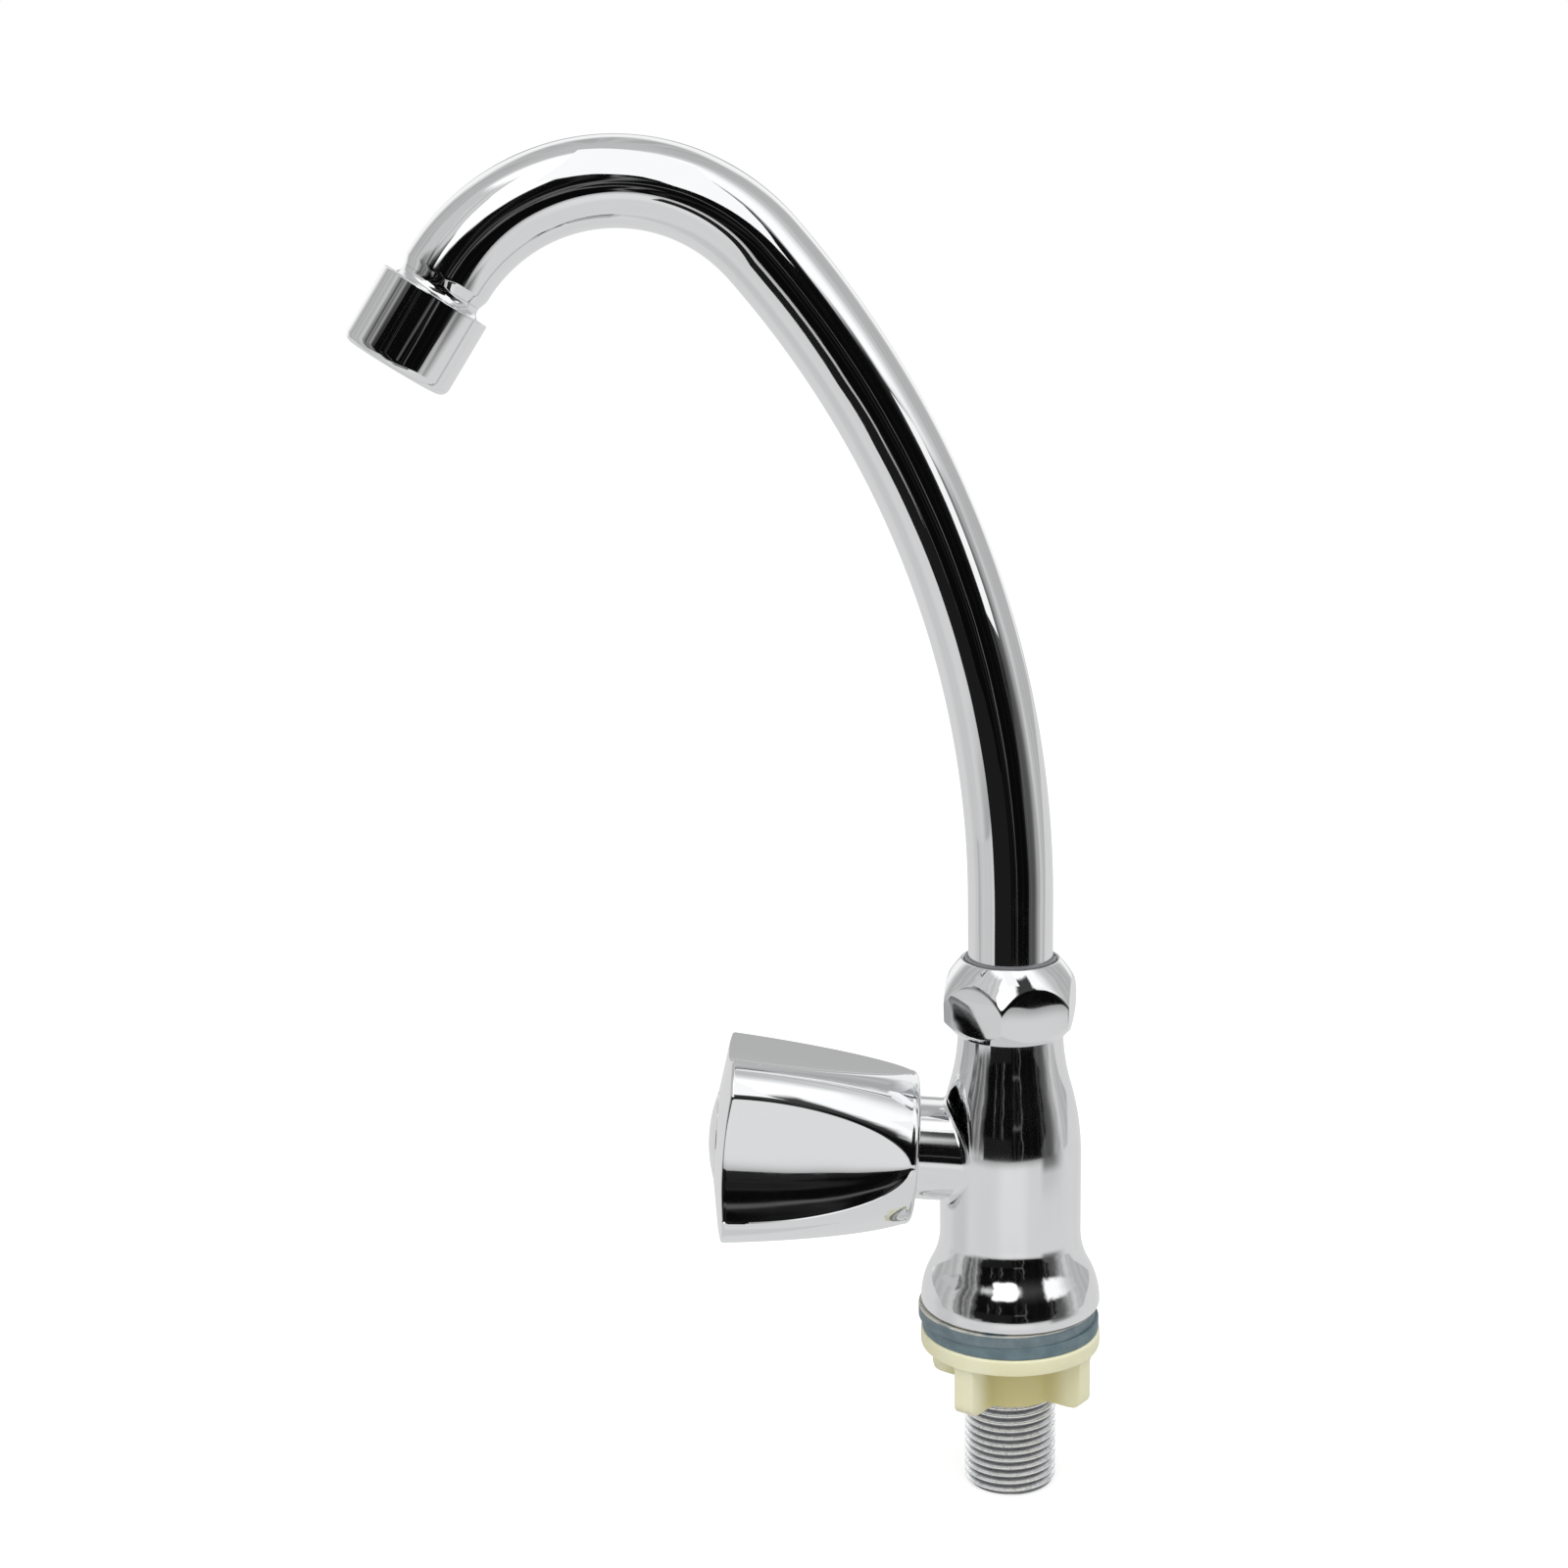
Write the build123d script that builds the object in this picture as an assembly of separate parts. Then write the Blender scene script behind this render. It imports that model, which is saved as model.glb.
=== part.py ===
from build123d import *
import os
from math import atan, cos, degrees, pi, radians, sin

os.makedirs("parts", exist_ok=True)

# A basin tap with one side knob and a swivelling swan-neck spout, in millimetres.
# Origin: the tap's axis at deck level. +Z is up, and the knob points to -X.

# Clearances
running_gap = 0.05
slide_gap = 0.1
seat_gap = 0.05
loose_gap = 0.25
overcut = 1.0

# Washers that clamp the deck
washer_radius = 20.2
washer_bore_radius = 11.6
washer_thickness = 2.9
upper_washer_shift = 0.8

# Threaded tail, a parallel pipe thread of 14 turns to the inch
thread_radius = 10.4775
thread_pitch = 1.8143
thread_depth = 1.162
thread_land = 0.36
thread_root_land = 0.3
tail_length = 40.6
tail_bore_radius = 7.0
tail_chamfer = 0.9
tail_socket_depth = 13.0

# Back nut
back_nut_flange_radius = 20.5
back_nut_flange_thickness = 4.1
back_nut_height = 15.2
back_nut_hub_radius = 12.0
back_nut_edge_round = 0.6
wing_count = 4
wing_reach = 20.0
wing_thickness = 4.9
wing_corner_round = 2.2
wing_root_round = 2.4
wing_turn = 53.0

# Body casting
base_radius = 20.4
base_edge_round = 1.2
waist_radius = 16.0
neck_radius = 11.8
bell_height = 18.0
bell_share = 0.5
waist_height = 18.0
shoulder_height = 30.0
shoulder_share = 0.55
neck_height = 7.0

# Waterways in the casting
inlet_radius = 5.2
inlet_offset = 4.2
port_radius = 4.3
outlet_drill_radius = 3.4
outlet_drill_top_offset = 3.0
outlet_drill_foot_offset = 9.0
spout_socket_depth = 16.0

# Valve branch, whose axis rises a little towards the knob
valve_height = 35.8
valve_tilt = 4.9
branch_radius = 11.6
branch_length = 25.5
cavity_radius = 8.8
cavity_floor = 3.5
bonnet_thread_radius = 9.45
bonnet_thread_start = 12.0

# Seat seal and ceramic discs
seal_outer_radius = 7.2
seal_bore_radius = 4.4
seal_thickness = 2.4
disc_radius = 7.35
fixed_disc_thickness = 3.2
moving_disc_thickness = 3.0
disc_gap = 0.02
disc_port_radius = 1.9
disc_port_offset = 4.0

# Bonnet
bonnet_skirt_wall = 1.15
bonnet_hex_flats = 19.0
bonnet_hex_height = 4.0
bonnet_neck_radius = 7.6
bonnet_neck_height = 4.5
bonnet_window_width = 6.0
bonnet_window_height = 2.6
bonnet_seal_section = 0.85
bonnet_groove_offset = 1.8
groove_slack = 0.1

# Spindle
spindle_radius = 4.5
spindle_foot_thickness = 3.05
tongue_width = 3.0
tongue_depth = 1.2
tongue_length = 10.0
spindle_seal_section = 0.6
spindle_seal_offsets = (4.2, 8.2)
clip_thickness = 0.8
clip_radius = 6.2
clip_groove_depth = 0.9
spline_radius = 3.95
spline_tooth_depth = 0.35
spline_teeth = 20
spline_length = 10.5

# Knob and what closes it
knob_inner_station = 21.9
knob_length = 42.7
knob_rim_radius = 25.2
knob_middle_radius = 21.6
knob_middle_share = 0.4
knob_inner_radius = 17.45
knob_inner_round = 1.7
knob_rim_round = 0.8
knob_end_rise = 2.3
facet_count = 4
facet_turn = 4.4
facet_rim_distance = 20.8
facet_slope = 0.081
knob_recess_radius = 15.0
knob_recess_depth = 35.0
knob_hub_radius = 7.2
knob_rib_count = 4
knob_rib_thickness = 2.0
knob_rib_depth = 16.0
knob_web = 2.0
cap_radius = 9.8
cap_dome_rise = 1.6
cap_disc_thickness = 1.8
cap_stem_radius = 8.2
cap_stem_wall = 1.2
cap_stem_length = 7.0
screw_radius = 1.95
screw_length = 11.0
screw_head_radius = 3.6
screw_head_height = 2.6
screw_slot_width = 0.9

# Spout nut and split ring
spout_nut_flats = 28.0
spout_nut_overlap = 8.2
spout_nut_turn = 17.7
spout_nut_foot_radius = 12.4
spout_nut_cone_height = 4.0
spout_nut_corner_height = 4.2
spout_nut_dome_height = 8.9
spout_nut_dome_top_radius = 11.0
spout_nut_dome_bulge = 0.7
ring_flange_radius = 11.55
ring_flange_thickness = 1.6
ring_wall = 0.75
ring_stand = 0.3
ring_slot_width = 1.4

# Spout
spout_turn = 8.5
tube_radius = 9.5
tube_wall = 0.8
spout_straight = 20.6
long_bend_radius = 219.0
long_bend_angle = 40.8
top_bend_radius = 40.9
top_bend_angle = 106.25
tube_neck_radius = 8.8
tube_neck_length = 2.2
tailpiece_flange_radius = 11.2
tailpiece_flange_thickness = 1.6
tailpiece_plug_length = 14.5
tailpiece_spigot_length = 6.0
tailpiece_bore_radius = 6.4
spout_seal_section = 0.9
spout_seal_offsets = (4.0, 8.5)

# Outlet
collar_length = 2.3
collar_radius = 9.7
collar_flare_share = 0.15
collar_flare_position = 0.6
adaptor_thread_radius = 10.95
adaptor_thread_length = 7.0
adaptor_bore_radius = 7.0
housing_radius = 12.0
housing_length = 17.1
housing_edge_round = 2.0
housing_lip_thickness = 2.0
outlet_radius = 9.4
outlet_washer_thickness = 2.0
insert_plate_thickness = 2.0
jet_radius = 0.7
jet_ring_counts = (4, 8, 12)
jet_ring_radii = (2.4, 4.6, 6.9)
screen_thickness = 0.4
screen_count = 2
screen_gap = 1.2

# Levels worked out from the sizes above
base_z = washer_thickness
waist_z = base_z + bell_height
shoulder_z = waist_z + waist_height
neck_z = shoulder_z + shoulder_height
body_top_z = neck_z + neck_height
valve_z = base_z + valve_height


def turned(*outline):
    """A solid turned about Z from a closed outline of (radius, height) points."""
    return revolve(Plane.XZ * make_face(Polyline(*outline, close=True)), Axis.Z)


def ring(outer, inner, low, high):
    """A plain ring about Z between two heights."""
    return turned((inner, low), (outer, low), (outer, high), (inner, high))


def rod(radius, low, high):
    """A plain round bar about Z between two heights."""
    return Pos(0, 0, low) * Cylinder(radius, high - low, align=(Align.CENTER, Align.CENTER, Align.MIN))


def o_ring(outer_radius, section, height):
    """A round rubber ring about Z that just reaches outer_radius."""
    return Pos(0, 0, height) * Torus(outer_radius - section, section)


def seal_groove(outer_radius, section, middle):
    """The groove in a round piece that an o_ring of the same size sits in."""
    half = section + groove_slack
    return ring(outer_radius + overcut, outer_radius - 2 * section, middle - half, middle + half)


def on_circle(count, radius, start=0.0):
    """Places evenly spaced on a circle, turned to face outwards."""
    return [Rot(0, 0, start + 360 * k / count) * Pos(radius, 0, 0) for k in range(count)]


def s_curve(start, end, share):
    """Two arcs from start up to end, vertical at both ends; share is the first arc's part."""
    narrowing = start[0] - end[0]
    rise = end[1] - start[1]
    angle = 2 * atan(narrowing / rise)
    reach = rise / sin(angle)
    first = JernArc(start, (0, 1), reach * share, degrees(angle))
    second = JernArc(first @ 1, first % 1, reach * (1 - share), -degrees(angle))
    return first + second


# The valve's own frame: Z runs out along the branch, X faces -Y, Y faces up
valve = Plane(
    origin=(0, 0, valve_z),
    x_dir=(0, -1, 0),
    z_dir=(-cos(radians(valve_tilt)), 0, sin(radians(valve_tilt))),
)


# Body casting
def make_body():
    bell = s_curve((base_radius, base_z + base_edge_round), (waist_radius, waist_z), bell_share)
    shoulder = s_curve((waist_radius, shoulder_z), (neck_radius, neck_z), shoulder_share)
    foot = (base_radius - base_edge_round, base_z)
    outline = (
        Line((0, base_z), foot)
        + JernArc(foot, (1, 0), base_edge_round, 90)
        + bell
        + Line((waist_radius, waist_z), (waist_radius, shoulder_z))
        + shoulder
        + Line((neck_radius, neck_z), (neck_radius, body_top_z))
        + Line((neck_radius, body_top_z), (0, body_top_z))
        + Line((0, body_top_z), (0, base_z))
    )
    casting = revolve(Plane.XZ * make_face(outline), Axis.Z)
    casting += valve * rod(branch_radius, 0, branch_length)
    socket_top = base_z + tail_socket_depth
    tail_socket = rod(thread_radius + seat_gap, base_z, socket_top)
    inlet = Pos(inlet_offset, 0, 0) * rod(inlet_radius, socket_top, valve_z + port_radius)
    port = valve * rod(port_radius, -inlet_offset, cavity_floor)
    cavity = valve * rod(cavity_radius, cavity_floor, branch_length)
    cavity_thread = valve * rod(bonnet_thread_radius + seat_gap, bonnet_thread_start, branch_length)
    socket_floor = body_top_z - spout_socket_depth
    spout_socket = rod(tube_radius + running_gap, socket_floor, body_top_z)
    drill_top = Vector(-outlet_drill_top_offset, 0, socket_floor + outlet_drill_radius / 2)
    drill_foot = Vector(-outlet_drill_foot_offset, 0, valve_z + cavity_radius - outlet_drill_radius / 2)
    drill_run = drill_foot - drill_top
    outlet_drill = Plane(origin=drill_top, z_dir=drill_run) * rod(outlet_drill_radius, 0, drill_run.length)
    return casting - tail_socket - inlet - port - cavity - cavity_thread - spout_socket - outlet_drill


body = make_body()


# Threaded tail, screwed up into the casting; only the free turns below the nut have flat crests
def make_tail():
    tail_top = base_z + tail_socket_depth
    nut_foot = -washer_thickness - back_nut_height
    flank = (thread_pitch - thread_land - thread_root_land) / 2
    root_radius = thread_radius - thread_depth
    outline = [(tail_bore_radius, -tail_length), (thread_radius - tail_chamfer, -tail_length)]
    crest_foot = -tail_length + tail_chamfer
    while crest_foot + thread_pitch < tail_top:
        crest_top = crest_foot + thread_land
        if crest_top + slide_gap < nut_foot:
            outline.append((thread_radius, crest_foot))
            outline.append((thread_radius, crest_top))
        else:
            outline.append((thread_radius, (crest_foot + crest_top) / 2))
        outline.append((root_radius, crest_top + flank))
        outline.append((root_radius, crest_top + flank + thread_root_land))
        crest_foot += thread_pitch
    outline.append((root_radius, tail_top))
    outline.append((tail_bore_radius, tail_top))
    return turned(*outline)


threaded_tail = make_tail()


# Washers above and below the deck
upper_washer = Pos(-upper_washer_shift, 0, 0) * ring(washer_radius, washer_bore_radius, 0, washer_thickness)
lower_washer = ring(washer_radius, washer_bore_radius, -washer_thickness, 0)


# Winged back nut
def make_back_nut():
    top = -washer_thickness
    flange_foot = top - back_nut_flange_thickness
    foot = top - back_nut_height
    hub = rod(back_nut_hub_radius, foot, flange_foot)
    wing_outline = (
        Line((0, foot), (wing_reach - wing_corner_round, foot))
        + JernArc((wing_reach - wing_corner_round, foot), (1, 0), wing_corner_round, 90)
        + Line((wing_reach, foot + wing_corner_round), (wing_reach, flange_foot))
        + Line((wing_reach, flange_foot), (0, flange_foot))
        + Line((0, flange_foot), (0, foot))
    )
    wing = extrude(Plane.XZ * make_face(wing_outline), wing_thickness / 2, both=True)
    grip = hub
    for k in range(wing_count):
        grip += Rot(0, 0, wing_turn + 360 * k / wing_count) * wing
    root_reach = (back_nut_hub_radius + wing_reach) / 2
    roots = []
    for edge in grip.edges().filter_by(Axis.Z):
        if Vector(edge.center().X, edge.center().Y).length < root_reach:
            roots.append(edge)
    grip = fillet(roots, wing_root_round)
    flange = rod(back_nut_flange_radius, flange_foot, top)
    flange = fillet(flange.edges(), back_nut_edge_round)
    return grip + flange - rod(thread_radius + running_gap, foot, top)


back_nut = make_back_nut()


# Spout nut: a hexagon with a cone below and a dome above, over the split ring
nut_foot_z = body_top_z - spout_nut_overlap
nut_corner_z = nut_foot_z + spout_nut_cone_height
nut_dome_z = nut_corner_z + spout_nut_corner_height
nut_top_z = nut_dome_z + spout_nut_dome_height
tailpiece_flange_z = body_top_z + slide_gap
tube_foot_z = tailpiece_flange_z + tailpiece_flange_thickness
ring_foot_z = tube_foot_z + slide_gap
ring_flange_top_z = ring_foot_z + ring_flange_thickness
ring_bore_radius = tube_radius + running_gap
ring_collar_radius = ring_bore_radius + ring_wall


def make_spout_nut():
    corner_radius = spout_nut_flats / 2 / cos(pi / 6) + seat_gap
    dome_middle = (
        (corner_radius + spout_nut_dome_top_radius) / 2 + spout_nut_dome_bulge,
        (nut_dome_z + nut_top_z) / 2,
    )
    opening = ring_collar_radius + seat_gap
    outline = (
        Line((0, nut_foot_z), (spout_nut_foot_radius, nut_foot_z))
        + Line((spout_nut_foot_radius, nut_foot_z), (corner_radius, nut_corner_z))
        + Line((corner_radius, nut_corner_z), (corner_radius, nut_dome_z))
        + ThreePointArc((corner_radius, nut_dome_z), dome_middle, (spout_nut_dome_top_radius, nut_top_z))
        + Line((spout_nut_dome_top_radius, nut_top_z), (0, nut_top_z))
        + Line((0, nut_top_z), (0, nut_foot_z))
    )
    blank = revolve(Plane.XZ * make_face(outline), Axis.Z)
    hexagon = RegularPolygon(spout_nut_flats / 2, 6, major_radius=False, rotation=spout_nut_turn)
    prism = Pos(0, 0, nut_foot_z) * extrude(hexagon, nut_top_z - nut_foot_z)
    thread_bore = rod(neck_radius + seat_gap, nut_foot_z, ring_flange_top_z + seat_gap)
    return (blank & prism) - thread_bore - rod(opening, nut_foot_z, nut_top_z)


spout_nut = make_spout_nut()


def make_split_ring():
    collar_top = nut_top_z + ring_stand
    whole = ring(ring_flange_radius, ring_bore_radius, ring_foot_z, ring_flange_top_z)
    whole += ring(ring_collar_radius, ring_bore_radius, ring_foot_z, collar_top)
    slot_height = collar_top - ring_foot_z
    slot = Box(ring_flange_radius, ring_slot_width, slot_height, align=(Align.MIN, Align.CENTER, Align.MIN))
    return whole - Pos(0, 0, ring_foot_z) * slot


spout_split_ring = make_split_ring()


# Spout: the tube's route in its own upright plane, then turned about the tap's axis
spout_side = Rot(0, 0, spout_turn)
bend_start = (0, tube_foot_z + spout_straight)
riser = Line((0, tube_foot_z), bend_start)
long_bend = JernArc(bend_start, (0, 1), long_bend_radius, long_bend_angle)
top_bend = JernArc(long_bend @ 1, long_bend % 1, top_bend_radius, top_bend_angle)
outlet_point = Plane.XZ.from_local_coords(top_bend @ 1)
outlet_way = Plane.XZ.from_local_coords(top_bend % 1) - Plane.XZ.from_local_coords((0, 0))
outlet = Plane(origin=outlet_point, x_dir=(0, 1, 0), z_dir=outlet_way)
tube_bore_radius = tube_radius - tube_wall
tube_neck_bore = tube_neck_radius - tube_wall


def make_spout_tube():
    route = Plane.XZ * (riser + long_bend + top_bend)
    section = Plane(origin=(0, 0, tube_foot_z)) * (Circle(tube_radius) - Circle(tube_bore_radius))
    bent = sweep(section, path=route)
    neck = outlet * turned(
        (tube_bore_radius, 0),
        (tube_radius, 0),
        (tube_neck_radius, tube_neck_length),
        (tube_neck_bore, tube_neck_length),
    )
    return spout_side * (bent + neck)


spout_tube = make_spout_tube()


def make_tailpiece():
    plug_foot = tailpiece_flange_z - tailpiece_plug_length
    piece = rod(tube_radius, plug_foot, tailpiece_flange_z)
    piece += rod(tailpiece_flange_radius, tailpiece_flange_z, tube_foot_z)
    piece += rod(tube_bore_radius - seat_gap, tube_foot_z, tube_foot_z + tailpiece_spigot_length)
    for offset in spout_seal_offsets:
        piece -= seal_groove(tube_radius, spout_seal_section, tailpiece_flange_z - offset)
    return piece - rod(tailpiece_bore_radius, plug_foot, tube_foot_z + tailpiece_spigot_length)


spout_tailpiece = make_tailpiece()
spout_seals = Compound(
    [
        o_ring(tube_radius, spout_seal_section, tailpiece_flange_z - offset)
        for offset in spout_seal_offsets
    ]
)


# Outlet pieces, along the outlet's own axis
housing_top = tube_neck_length + collar_length
housing_foot = housing_top + housing_length
lip_top = housing_foot - housing_lip_thickness
housing_bore = adaptor_thread_radius + seat_gap
washer_top = housing_top + adaptor_thread_length
insert_top = washer_top + outlet_washer_thickness
screen_radius = outlet_radius - running_gap


def at_outlet(shape):
    """Moves a piece drawn along Z to the spout's outlet."""
    return spout_side * (outlet * shape)


def make_outlet_adaptor():
    spigot_radius = tube_neck_bore - seat_gap
    flare_middle = (
        tube_neck_radius + collar_flare_share * (collar_radius - tube_neck_radius),
        tube_neck_length + collar_flare_position * collar_length,
    )
    outline = (
        Line((adaptor_bore_radius, 0), (spigot_radius, 0))
        + Line((spigot_radius, 0), (spigot_radius, tube_neck_length))
        + Line((spigot_radius, tube_neck_length), (tube_neck_radius, tube_neck_length))
        + ThreePointArc((tube_neck_radius, tube_neck_length), flare_middle, (collar_radius, housing_top))
        + Line((collar_radius, housing_top), (adaptor_thread_radius, housing_top))
        + Line((adaptor_thread_radius, housing_top), (adaptor_thread_radius, washer_top))
        + Line((adaptor_thread_radius, washer_top), (adaptor_bore_radius, washer_top))
        + Line((adaptor_bore_radius, washer_top), (adaptor_bore_radius, 0))
    )
    return at_outlet(revolve(Plane.XZ * make_face(outline), Axis.Z))


outlet_adaptor = make_outlet_adaptor()


def make_aerator_housing():
    edge_start = (housing_radius, housing_foot - housing_edge_round)
    outline = (
        Line((housing_bore, housing_top), (housing_radius, housing_top))
        + Line((housing_radius, housing_top), edge_start)
        + JernArc(edge_start, (0, 1), housing_edge_round, 90)
        + Line((housing_radius - housing_edge_round, housing_foot), (outlet_radius, housing_foot))
        + Line((outlet_radius, housing_foot), (outlet_radius, lip_top))
        + Line((outlet_radius, lip_top), (housing_bore, lip_top))
        + Line((housing_bore, lip_top), (housing_bore, housing_top))
    )
    return at_outlet(revolve(Plane.XZ * make_face(outline), Axis.Z))


aerator_housing = make_aerator_housing()
aerator_washer = at_outlet(ring(adaptor_thread_radius, adaptor_bore_radius, washer_top, insert_top))


def make_aerator_insert():
    insert = rod(adaptor_thread_radius, insert_top, lip_top)
    insert -= rod(outlet_radius, insert_top + insert_plate_thickness, lip_top)
    jets = Sketch()
    for count, radius in zip(jet_ring_counts, jet_ring_radii):
        for place in on_circle(count, radius):
            jets += place * Circle(jet_radius)
    return at_outlet(insert - Pos(0, 0, insert_top) * extrude(jets, insert_plate_thickness))


aerator_insert = make_aerator_insert()


def make_screens():
    screens = []
    for k in range(screen_count):
        foot = lip_top - (k + 1) * (screen_thickness + screen_gap)
        screens.append(at_outlet(rod(screen_radius, foot, foot + screen_thickness)))
    return Compound(screens)


aerator_screens = make_screens()


# Cartridge pieces, along the valve's axis
seal_top = cavity_floor + seal_thickness
fixed_disc_top = seal_top + fixed_disc_thickness
moving_disc_foot = fixed_disc_top + disc_gap
moving_disc_top = moving_disc_foot + moving_disc_thickness
foot_top = moving_disc_top + spindle_foot_thickness
skirt_bore = disc_radius + seat_gap
bonnet_hex_top = branch_length + bonnet_hex_height
bonnet_top = bonnet_hex_top + bonnet_neck_height
spline_start = bonnet_top + clip_thickness + 2 * slide_gap + running_gap
spindle_end = spline_start + spline_length
knob_web_foot = spindle_end + slide_gap
knob_web_top = knob_web_foot + knob_web
knob_rim_station = knob_inner_station + knob_length
knob_face_station = knob_rim_station + knob_end_rise
bonnet_seal_middle = branch_length - bonnet_groove_offset

seat_seal = valve * ring(seal_outer_radius, seal_bore_radius, cavity_floor, seal_top)


def ported_disc(low, high, start):
    """A ceramic disc with two round ports on a line turned by start degrees."""
    disc = rod(disc_radius - running_gap, low, high)
    for place in on_circle(2, disc_port_offset, start):
        disc -= place * rod(disc_port_radius, low, high)
    return disc


def tongue(clearance):
    """The spindle's driving tongue, or its slot when given a clearance."""
    size = (tongue_width + clearance, tongue_length + clearance, tongue_depth + clearance)
    return Pos(0, 0, moving_disc_top) * Box(*size, align=(Align.CENTER, Align.CENTER, Align.MAX))


def spline_star(clearance):
    """The outline of the spindle's splined end."""
    points = []
    for k in range(2 * spline_teeth):
        radius = spline_radius + clearance - (spline_tooth_depth if k % 2 else 0)
        angle = pi * k / spline_teeth
        points.append((radius * cos(angle), radius * sin(angle)))
    return make_face(Polyline(*points, close=True))


fixed_disc = valve * ported_disc(seal_top, fixed_disc_top, 90)
moving_disc = valve * (ported_disc(moving_disc_foot, moving_disc_top, 0) - tongue(seat_gap))


def make_bonnet():
    skirt_radius = skirt_bore + bonnet_skirt_wall
    piece = rod(skirt_radius, seal_top, branch_length)
    piece += rod(bonnet_thread_radius, bonnet_thread_start, branch_length)
    hexagon = RegularPolygon(bonnet_hex_flats / 2, 6, major_radius=False)
    piece += Pos(0, 0, branch_length) * extrude(hexagon, bonnet_hex_height)
    piece += rod(bonnet_neck_radius, bonnet_hex_top, bonnet_top)
    piece -= seal_groove(bonnet_thread_radius, bonnet_seal_section, bonnet_seal_middle)
    piece -= rod(skirt_bore, seal_top, foot_top + slide_gap)
    piece -= rod(spindle_radius + running_gap, seal_top, bonnet_top)
    window = Box(2 * (skirt_radius + overcut), bonnet_window_width, bonnet_window_height)
    window_middle = bonnet_thread_start - bonnet_window_height / 2
    piece -= Pos(0, 0, window_middle) * Rot(0, 0, 90) * window
    return valve * piece


valve_bonnet = make_bonnet()
bonnet_seal = valve * o_ring(bonnet_thread_radius, bonnet_seal_section, bonnet_seal_middle)


def make_spindle():
    piece = rod(disc_radius - running_gap, moving_disc_top, foot_top)
    piece += rod(spindle_radius, foot_top, spline_start)
    piece += Pos(0, 0, spline_start) * extrude(spline_star(0), spline_length)
    piece += tongue(0)
    for offset in spindle_seal_offsets:
        piece -= seal_groove(spindle_radius, spindle_seal_section, foot_top + offset)
    clip_foot = bonnet_top + slide_gap
    clip_floor = spindle_radius - clip_groove_depth
    piece -= ring(spindle_radius + overcut, clip_floor, clip_foot, clip_foot + clip_thickness + running_gap)
    return valve * (piece - rod(screw_radius + seat_gap, spindle_end - screw_length, spindle_end))


valve_spindle = make_spindle()
spindle_seals = Compound(
    [
        valve * o_ring(spindle_radius, spindle_seal_section, foot_top + offset)
        for offset in spindle_seal_offsets
    ]
)


def make_clip():
    clip_foot = bonnet_top + slide_gap
    bore = spindle_radius - clip_groove_depth + running_gap
    whole = ring(clip_radius, bore, clip_foot, clip_foot + clip_thickness)
    mouth = Box(clip_radius, bore, clip_thickness, align=(Align.MIN, Align.CENTER, Align.MIN))
    return valve * (whole - Pos(0, 0, clip_foot) * mouth)


spindle_clip = make_clip()


# Knob: a turned shell with four flats, open inside for the bonnet, the screw and the cap
def make_knob():
    middle = (knob_middle_radius, knob_inner_station + knob_middle_share * knob_length)
    inner_edge = (knob_inner_radius, knob_inner_station + knob_inner_round)
    rim_side = (knob_rim_radius, knob_rim_station - knob_rim_round)
    rim_face = (knob_rim_radius - knob_rim_round, knob_rim_station)
    corner = (
        knob_inner_radius - knob_inner_round * (1 - sin(pi / 4)),
        knob_inner_station + knob_inner_round * (1 - sin(pi / 4)),
    )
    face_inner = (cap_radius + seat_gap, knob_face_station)
    outline = (
        Line((0, knob_inner_station), (knob_inner_radius - knob_inner_round, knob_inner_station))
        + ThreePointArc((knob_inner_radius - knob_inner_round, knob_inner_station), corner, inner_edge)
        + ThreePointArc(inner_edge, middle, rim_side)
        + Line(rim_side, rim_face)
        + Line(rim_face, face_inner)
        + Line(face_inner, (0, knob_face_station))
        + Line((0, knob_face_station), (0, knob_inner_station))
    )
    shell = revolve(Plane.XZ * make_face(outline), Axis.Z)
    height = knob_face_station - knob_inner_station
    foot_half_width = facet_rim_distance - facet_slope * knob_length
    facet_start = 180 / facet_count + facet_turn
    flats = RegularPolygon(foot_half_width, facet_count, major_radius=False, rotation=facet_start)
    shell &= Pos(0, 0, knob_inner_station) * extrude(flats, height, taper=-degrees(atan(facet_slope)))
    hub_foot = spline_start + slide_gap
    recess_top = knob_inner_station + knob_recess_depth
    recess = rod(knob_recess_radius, knob_inner_station, recess_top)
    recess -= rod(knob_hub_radius, hub_foot, recess_top)
    rib_size = (knob_recess_radius, knob_rib_thickness, knob_rib_depth)
    rib = Box(*rib_size, align=(Align.MIN, Align.CENTER, Align.MAX))
    for k in range(knob_rib_count):
        recess -= Rot(0, 0, 360 * k / knob_rib_count) * Pos(0, 0, recess_top) * rib
    shell -= recess
    shell -= Pos(0, 0, hub_foot) * extrude(spline_star(running_gap), knob_web_foot - hub_foot)
    shell -= rod(screw_radius + loose_gap, knob_web_foot, knob_web_top)
    cap_seat = knob_face_station - cap_disc_thickness
    stem_foot = cap_seat - cap_stem_length
    shell -= rod(screw_head_radius + loose_gap, knob_web_top, stem_foot)
    shell -= rod(cap_stem_radius + seat_gap, stem_foot - slide_gap, cap_seat)
    return valve * (shell - rod(cap_radius + seat_gap, cap_seat, knob_face_station))


handle_knob = make_knob()


def make_index_cap():
    cap_seat = knob_face_station - cap_disc_thickness
    edge = (cap_radius, knob_face_station)
    tip = (0, knob_face_station + cap_dome_rise)
    stem_bore = cap_stem_radius - cap_stem_wall
    dome = (
        Line((0, cap_seat), (cap_radius, cap_seat))
        + Line((cap_radius, cap_seat), edge)
        + TangentArc(tip, edge, tangent=(1, 0))
        + Line(tip, (0, cap_seat))
    )
    cap = revolve(Plane.XZ * make_face(dome), Axis.Z)
    return valve * (cap + ring(cap_stem_radius, stem_bore, cap_seat - cap_stem_length, cap_seat))


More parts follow.
